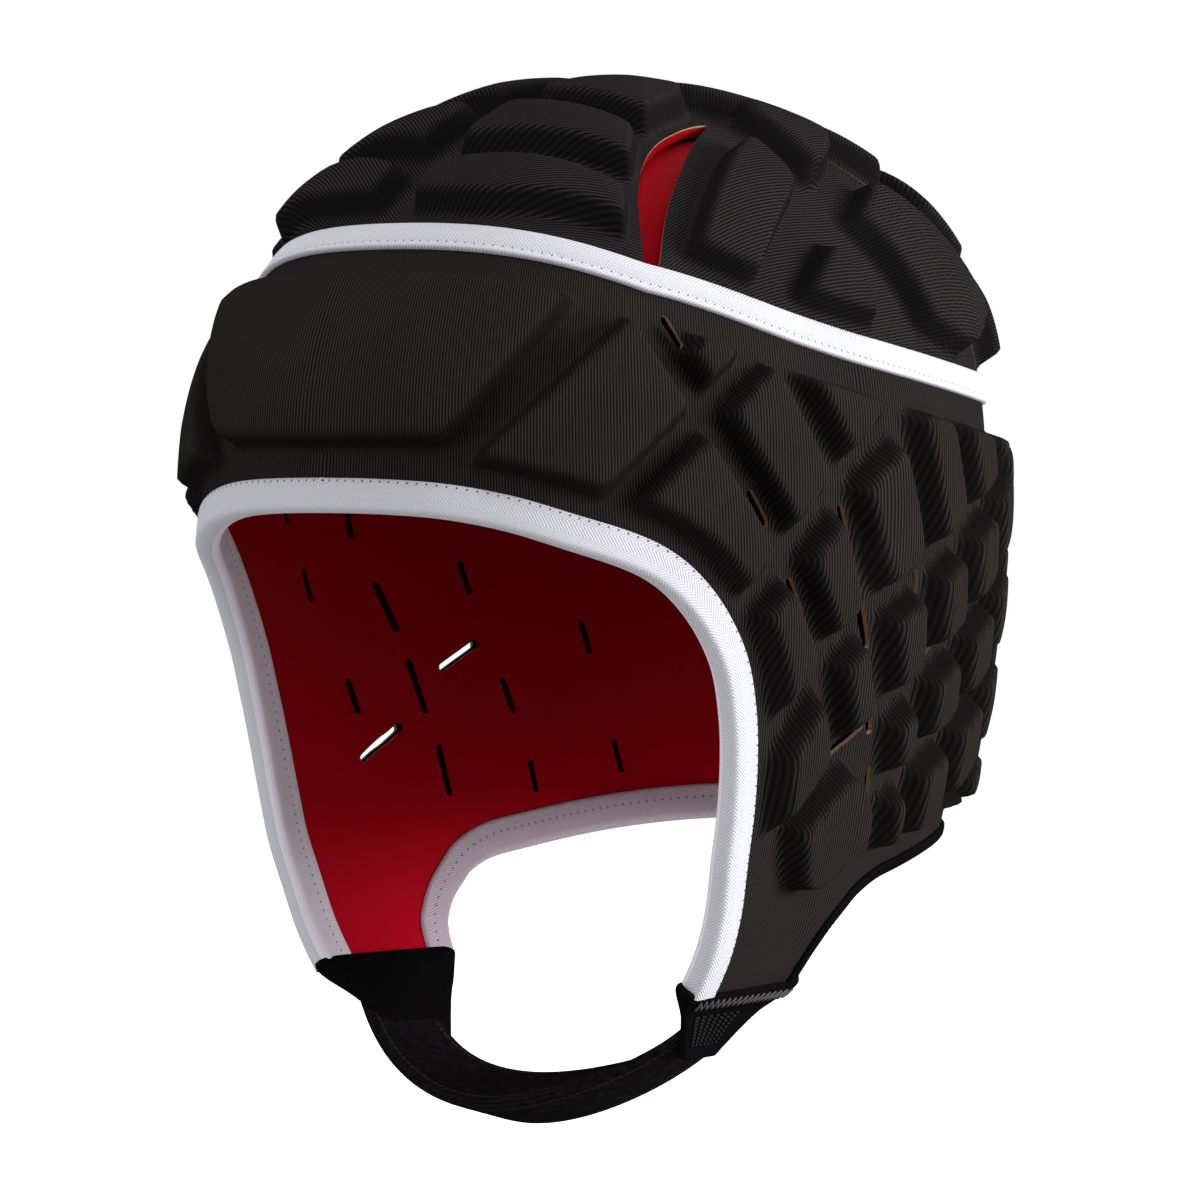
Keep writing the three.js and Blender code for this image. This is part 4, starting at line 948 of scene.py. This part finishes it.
seamTurns = 721
ringAngle = np.linspace(0, 360, seamTurns)
seamRows = [
    (-3.75, 0.05), (-3.75, 0.6), (-3.4, 0.95), (-2.4, 1.05), (-1.0, 1.1), (0.4, 1.05), (1.2, 0.85), (1.6, 0.7),
    (2.0, 0.85), (2.6, 1.2), (3.2, 1.35), (3.6, 1.15), (3.75, 0.6), (3.75, 0.05),
]
seamPoints = np.stack([
    raised(ringAngle, seamStation(ringAngle) + d / perStation, np.full(seamTurns, lift)) for d, lift in seamRows], 1)
length = np.concatenate([[0], np.cumsum(np.linalg.norm(np.diff(seamPoints[:, 4], axis=0), axis=1))])
across = np.array([d - seamRows[0][0] for d, lift in seamRows])
index = np.arange(seamTurns * len(seamRows)).reshape(seamTurns, -1)
faces = np.stack([index[:-1, :-1], index[:-1, 1:], index[1:, 1:], index[1:, :-1]], -1).reshape(-1, 4)
seamUv = np.stack(np.meshgrid(length, across, indexing="ij"), -1).reshape(-1, 2)
seamTape = makeMesh("seamTape", seamPoints.reshape(-1, 3), faces, seamUv, [seamTapeCloth])
print("tapes done")

# Chin strap and its tabs
strap = {
    "width": 22, "thickness": 1.7, "drop": 32, "tilt": 15, "tab": 14, "tabGap": 0.75, "segments": 80,
    "swing": (-8, -9, 0),
}
tab = {
    "rootDepth": 7.0, "depth": 2.6, "rootLift": -2.2,
    "near": {
        "end": 1.85, "overFront": 0.10, "overBack": 0.12, "endWidth": 17, "lean": 0.4, "lift": -1.9, "thin": 0.7},
    "far": {"end": 2.7, "overFront": 0.06, "overBack": 0.04, "endWidth": 12, "lean": 0.6, "lift": -3.8, "thin": 1.1},
    "straightFrom": 1.5,
}
frontFoot, backFoot = halfEdge(faceLine, 3)[0][-1], halfEdge(napeLine, 3)[0][0]
startStation = flapEnd + form["clearance"] / perStation


def tabSpot(share, across, lift, side=1, endWidth=None, lean=0.5, last=1):
    station = startStation + share * strap["tab"] / perStation
    width = np.linalg.norm(formPoint(backFoot, startStation) - formPoint(frontFoot, startStation))
    narrowing = (1 - (endWidth or strap["width"]) / width) * min(max(share / last, 0), 1)
    span = backFoot - frontFoot
    angle = frontFoot + span * (narrowing * lean + across * (1 - narrowing))
    return raised(np.array([angle * side]), np.array([station]), np.array([lift]))[0]


# A flat band with rounded sides through frames of point, sideways and outward.
def ribbonMesh(name, frames, widths, thickness, material):
    turn = np.linspace(0, 2 * math.pi, 29)[:-1]
    shape = np.stack([np.sign(np.cos(turn)) * np.abs(np.cos(turn)) ** 0.25, np.sin(turn)], -1)
    shape[:, 1] = np.sign(shape[:, 1]) * np.abs(shape[:, 1]) ** 0.7
    points, uvs = [], []
    run = 0.0
    for i, ((point, sideways, outward), width, deep) in enumerate(zip(frames, widths, thickness)):
        run += np.linalg.norm(point - frames[i - 1][0]) if i else 0
        ring = point + np.outer(shape[:, 0] * width / 2, sideways) + np.outer(shape[:, 1] * deep / 2, outward)
        points.append(ring)
        uvs.append(np.stack([np.full(len(shape), run), shape[:, 0] * width / 2], -1))
    count, rows = len(shape), len(frames)
    index = np.arange(count * rows).reshape(rows, count)
    right = np.roll(index, -1, axis=1)
    faces = np.stack([index[:-1], right[:-1], right[1:], index[1:]], -1).reshape(-1, 4).tolist()
    faces += [index[0][::-1].tolist(), index[-1].tolist()]
    return makeMesh(name, np.concatenate(points), faces, np.concatenate(uvs), [material])


def tabPoint(share, *shape):
    straight = tab["straightFrom"]
    if share <= straight:
        return tabSpot(share, *shape)
    last = tabSpot(straight, *shape)
    return last + (last - tabSpot(straight - 0.2, *shape)) * (share - straight) / 0.2


# The tab starts round the foot of the flap, over the ends of the tapes, and runs down behind the strap.
def tabFrames(side):
    frames, widths, depths = [], [], []
    shape = tab["near" if side > 0 else "far"]
    for share in np.linspace(-0.16, shape["end"], 34):
        level = min(max(share / shape["end"], 0), 1)
        thin = min(max((share - 0.02) / shape["thin"], 0), 1)
        thin = thin * thin * (3 - 2 * thin)
        depth = tab["rootDepth"] + (tab["depth"] - tab["rootDepth"]) * thin
        if share < -0.14:
            depth -= 1.2
        lift = tab["rootLift"] + (shape["lift"] - tab["rootLift"]) * thin
        low, high = -shape["overFront"] * (1 - level), 1 + shape["overBack"] * (1 - level)
        left = tabPoint(share, low, lift, side, shape["endWidth"], shape["lean"], shape["end"])
        right = tabPoint(share, high, lift, side, shape["endWidth"], shape["lean"], shape["end"])
        middle = (left + right) / 2
        ends = [tabPoint(share + step, 0.5, lift, side) for step in (0, 0.05)]
        ahead = middle + unit(ends[1] - ends[0])
        sideways = unit(right - left)
        outward = unit(np.cross(sideways, ahead - middle)) * (1 if side > 0 else -1)
        frames.append((middle, sideways, outward))
        widths.append(np.linalg.norm(right - left))
        depths.append(depth)
    return frames, widths, depths


# The outer band tilts down behind its front edge, and the inner one, which lies in it, tilts up.
def strapFrames(innerLayer):
    lift = -(form["wall"] - form["clearance"]) / 2
    a, b, end, before = tabSpot(1, 0, lift), tabSpot(1, 1, lift), tabSpot(1, 0.5, lift), tabSpot(0.8, 0.5, lift)
    endWidth = unit(b - a)
    direction = end - before
    direction = unit(direction - endWidth * (direction @ endWidth))
    start = end + direction * (strap["tabGap"] - 3)
    chin = np.array([0, start[1], formPoint(0, flapEnd)[2] - strap["drop"]])
    c1 = start + direction * strap["drop"] * 0.45
    c2 = np.array([start[0] * 0.4, start[1], chin[2]])
    t = np.linspace(0, 1, strap["segments"] // 2)[:, None]
    path = start * (1 - t) ** 3 + 3 * c1 * t * (1 - t) ** 2 + 3 * c2 * t * t * (1 - t) + chin * t ** 3
    tilt = math.radians(strap["tilt"])
    chinWidth = np.array([0, math.cos(tilt), -math.sin(tilt)])
    if innerLayer:
        chinWidth = np.array([0, math.cos(tilt), math.sin(tilt) * 0.9])
    turned = endWidth + (chinWidth - endWidth) * np.sin(t * math.pi / 2)
    full = np.concatenate([path, path[-2::-1] * [-1, 1, 1]])
    full = full + np.sin(np.linspace(0, math.pi, len(full)))[:, None] ** 1.5 * np.array(strap["swing"])
    ways = np.concatenate([turned, turned[-2::-1] * [-1, 1, 1]])
    tangent = unit(np.gradient(full, axis=0))
    ways = unit(ways - tangent * np.sum(ways * tangent, -1, keepdims=True))
    outward = np.cross(tangent, ways)
    if innerLayer:
        firstFrames = strapFrames(False)
        front = np.array([p - w * strap["width"] / 2 for p, w, o in firstFrames])
        towards = np.array([0, full[0][1], formPoint(0, flapEnd)[2]]) - full
        full = front + ways * strap["width"] / 2 + unit(towards) * 0.8
    return list(zip(full, ways, outward))


tabs = []
for hand, name in ((1, "strapTabLeft"), (-1, "strapTabRight")):
    frames, widths, depths = tabFrames(hand)
    tabs.append(ribbonMesh(name, frames, widths, depths, blackWebbing))

zigzag = {"turns": 17, "from": 0.03, "to": 0.30, "radius": 0.3, "steps": 4, "inset": 0.03, "sides": 6}
stitch = {
    "rows": 9, "columns": 7, "top": 0.62, "step": 0.1, "left": 0.1, "right": 0.62,
    "length": 0.05, "rise": 0.02, "radius": 0.34,
}


# Short sewn threads as thin tubes through their points.
def threadMesh(name, paths, radius, material):
    sides = zigzag["sides"]
    turn = np.linspace(0, 2 * math.pi, sides + 1)[:-1]
    points, faces = [], []
    for path, normals in paths:
        tangent = unit(np.gradient(path, axis=0))
        across = unit(np.cross(tangent, normals))
        start = sum(len(p) for p in points)
        rings = path[:, None] + radius * (
            np.cos(turn)[None, :, None] * across[:, None] + np.sin(turn)[None, :, None] * normals[:, None])
        points.append(rings.reshape(-1, 3))
        index = start + np.arange(len(path) * sides).reshape(-1, sides)
        right = np.roll(index, -1, axis=1)
        faces.append(np.stack([index[:-1], right[:-1], right[1:], index[1:]], -1).reshape(-1, 4))
    points, faces = np.concatenate(points), np.concatenate(faces)
    return makeMesh(name, points, faces, points[:, :2], [material])


# A point on the near tab's outer face.
def outside(frames, depths, share, across):
    shares = np.linspace(-0.16, tab["near"]["end"], len(frames))
    place = np.interp(share, shares, np.arange(len(frames)))
    low = int(min(place, len(frames) - 2))
    t = place - low
    (pa, sa, oa), (pb, sb, ob) = frames[low], frames[low + 1]
    middle, way, out = pa + (pb - pa) * t, unit(sa + (sb - sa) * t), unit(oa + (ob - oa) * t)
    if out @ np.array([1, 0, 0]) < 0:
        out = -out
    wide = widths[low] + (widths[low + 1] - widths[low]) * t
    deep = depths[low] + (depths[low + 1] - depths[low]) * t
    return middle + way * (across - 0.5) * wide * 0.93 + out * deep / 2, out


frames, widths, depths = tabFrames(1)
count = zigzag["turns"] * zigzag["steps"]
line = []
for k in range(count + 1):
    wave = abs((k / 2) % 2 - 1)
    across = zigzag["inset"] + (1 - 2 * zigzag["inset"]) * k / count
    line.append(outside(frames, depths, zigzag["from"] + (zigzag["to"] - zigzag["from"]) * wave, across))
paths = [line]
for row in range(stitch["rows"]):
    share = stitch["top"] + row * stitch["step"]
    for column in range(stitch["columns"]):
        across = stitch["left"] + (stitch["right"] - stitch["left"]) * column / (stitch["columns"] - 1)
        ends = [(share + d * stitch["rise"], across + d * stitch["length"]) for d in (-0.5, 0, 0.5)]
        paths.append([outside(frames, depths, *end) for end in ends])
paths = [np.moveaxis(np.array(path), 1, 0) for path in paths]
threads = threadMesh("tabZigzag", paths[:1], zigzag["radius"], threadGrey)
hatch = threadMesh("tabHatch", paths[1:], stitch["radius"], threadBlack)
bands = []
for inner, name in ((False, "chinStrap"), (True, "chinStrapInner")):
    frames = strapFrames(inner)
    count = len(frames)
    bands.append(ribbonMesh(name, frames, [strap["width"]] * count, [strap["thickness"]] * count, strapWebbing))
print("strap done")


solids = [
    (side, "side_panel"), (sideLining, "side_lining"), (crown, "crown_panel"), (crownLining, "crown_lining"),
    (seamTape, "seam_tape"), (faceTape, "face_tape"), (napeTape, "nape_tape"), (tabs[0], "strap_tab_left"),
    (tabs[1], "strap_tab_right"), (bands[0], "chin_strap"),
]
added = [slotBacks, threads, hatch, bands[1]]
for piece in [piece for piece, node in solids] + added:
    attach(piece, "root")
for piece, node in solids:
    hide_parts(node)

# Floor, light and camera
def stageBowl():
    radii = [0.0, 0.6, 1.5, 3.0, 4.5, 5.5, 6.2, 6.7, 7.0, 7.1]
    heights = [0, 0, 0, 0, 0.02, 0.2, 0.7, 1.6, 3.0, 5.0]
    count = 96
    turn = np.linspace(0, 2 * math.pi, count, endpoint=False)
    points = [(r * math.cos(t), r * math.sin(t), h - 0.34) for r, h in zip(radii, heights) for t in turn]
    faces = []
    for row in range(len(radii) - 1):
        for k in range(count):
            n = (k + 1) % count
            faces.append((row * count + k, row * count + n, (row + 1) * count + n, (row + 1) * count + k))
    shade = Shade("floorPaint", (0.92, 0.92, 0.92), 0.9)
    shade.shader.inputs["Emission Color"].default_value = (1, 1, 1, 1)
    shade.shader.inputs["Emission Strength"].default_value = 0.42
    spots = np.array(points) * 1000
    floor = makeMesh("floor", spots, faces, spots[:, :2], [shade.material])
    floor.visible_diffuse = False
    return floor


stageBowl()
world = bpy.data.worlds.new("studio")
bpy.context.scene.world = world
world.use_nodes = True
sky = world.node_tree.nodes
links = world.node_tree.links
place, height, ramp = sky.new("ShaderNodeTexCoord"), sky.new("ShaderNodeSeparateXYZ"), sky.new("ShaderNodeMapRange")
ramp.inputs["From Min"].default_value, ramp.inputs["From Max"].default_value = -0.5, 0.6
ramp.inputs["To Min"].default_value, ramp.inputs["To Max"].default_value = 0.62, 0.75
links.new(place.outputs["Generated"], height.inputs[0])
links.new(height.outputs["Z"], ramp.inputs["Value"])
links.new(ramp.outputs["Result"], sky["Background"].inputs["Color"])
sky["Background"].inputs["Strength"].default_value = 0.9


# Places a light or camera on a sphere round a target, turned towards it
def aimed(name, data, azimuth, elevation, distance, target):
    piece = bpy.data.objects.new(name, data)
    a, e = math.radians(azimuth), math.radians(elevation)
    away = Vector((math.sin(a) * math.cos(e), -math.cos(a) * math.cos(e), math.sin(e)))
    piece.location = Vector(target) + away * distance
    piece.rotation_euler = away.to_track_quat("Z", "Y").to_euler()
    bpy.context.scene.collection.objects.link(piece)
    return piece


def areaLight(name, azimuth, elevation, distance, size, power):
    light = bpy.data.lights.new(name, "AREA")
    light.energy, light.size = power, size
    aimed(name, light, azimuth, elevation, distance, (0, 0, -0.11))


areaLight("key", 112, 2, 1.8, 1.1, 66)
areaLight("fill", -20, 20, 2.2, 1.4, 15)
areaLight("top", 50, 72, 1.8, 1.0, 11)
areaLight("back", 215, 28, 2.0, 1.4, 16)

view = {"azimuth": 38.5, "elevation": 1.5, "distance": 1.4, "pixelsPerMm": 4.15, "target": (0, 0, -0.115)}
cameraData = bpy.data.cameras.new("camera")
cameraData.lens = 36 * view["distance"] * 1000 / (1200 / view["pixelsPerMm"])
bpy.context.scene.camera = aimed(
    "camera", cameraData, view["azimuth"], view["elevation"], view["distance"], view["target"])
bpy.context.scene.view_settings.view_transform = "Standard"
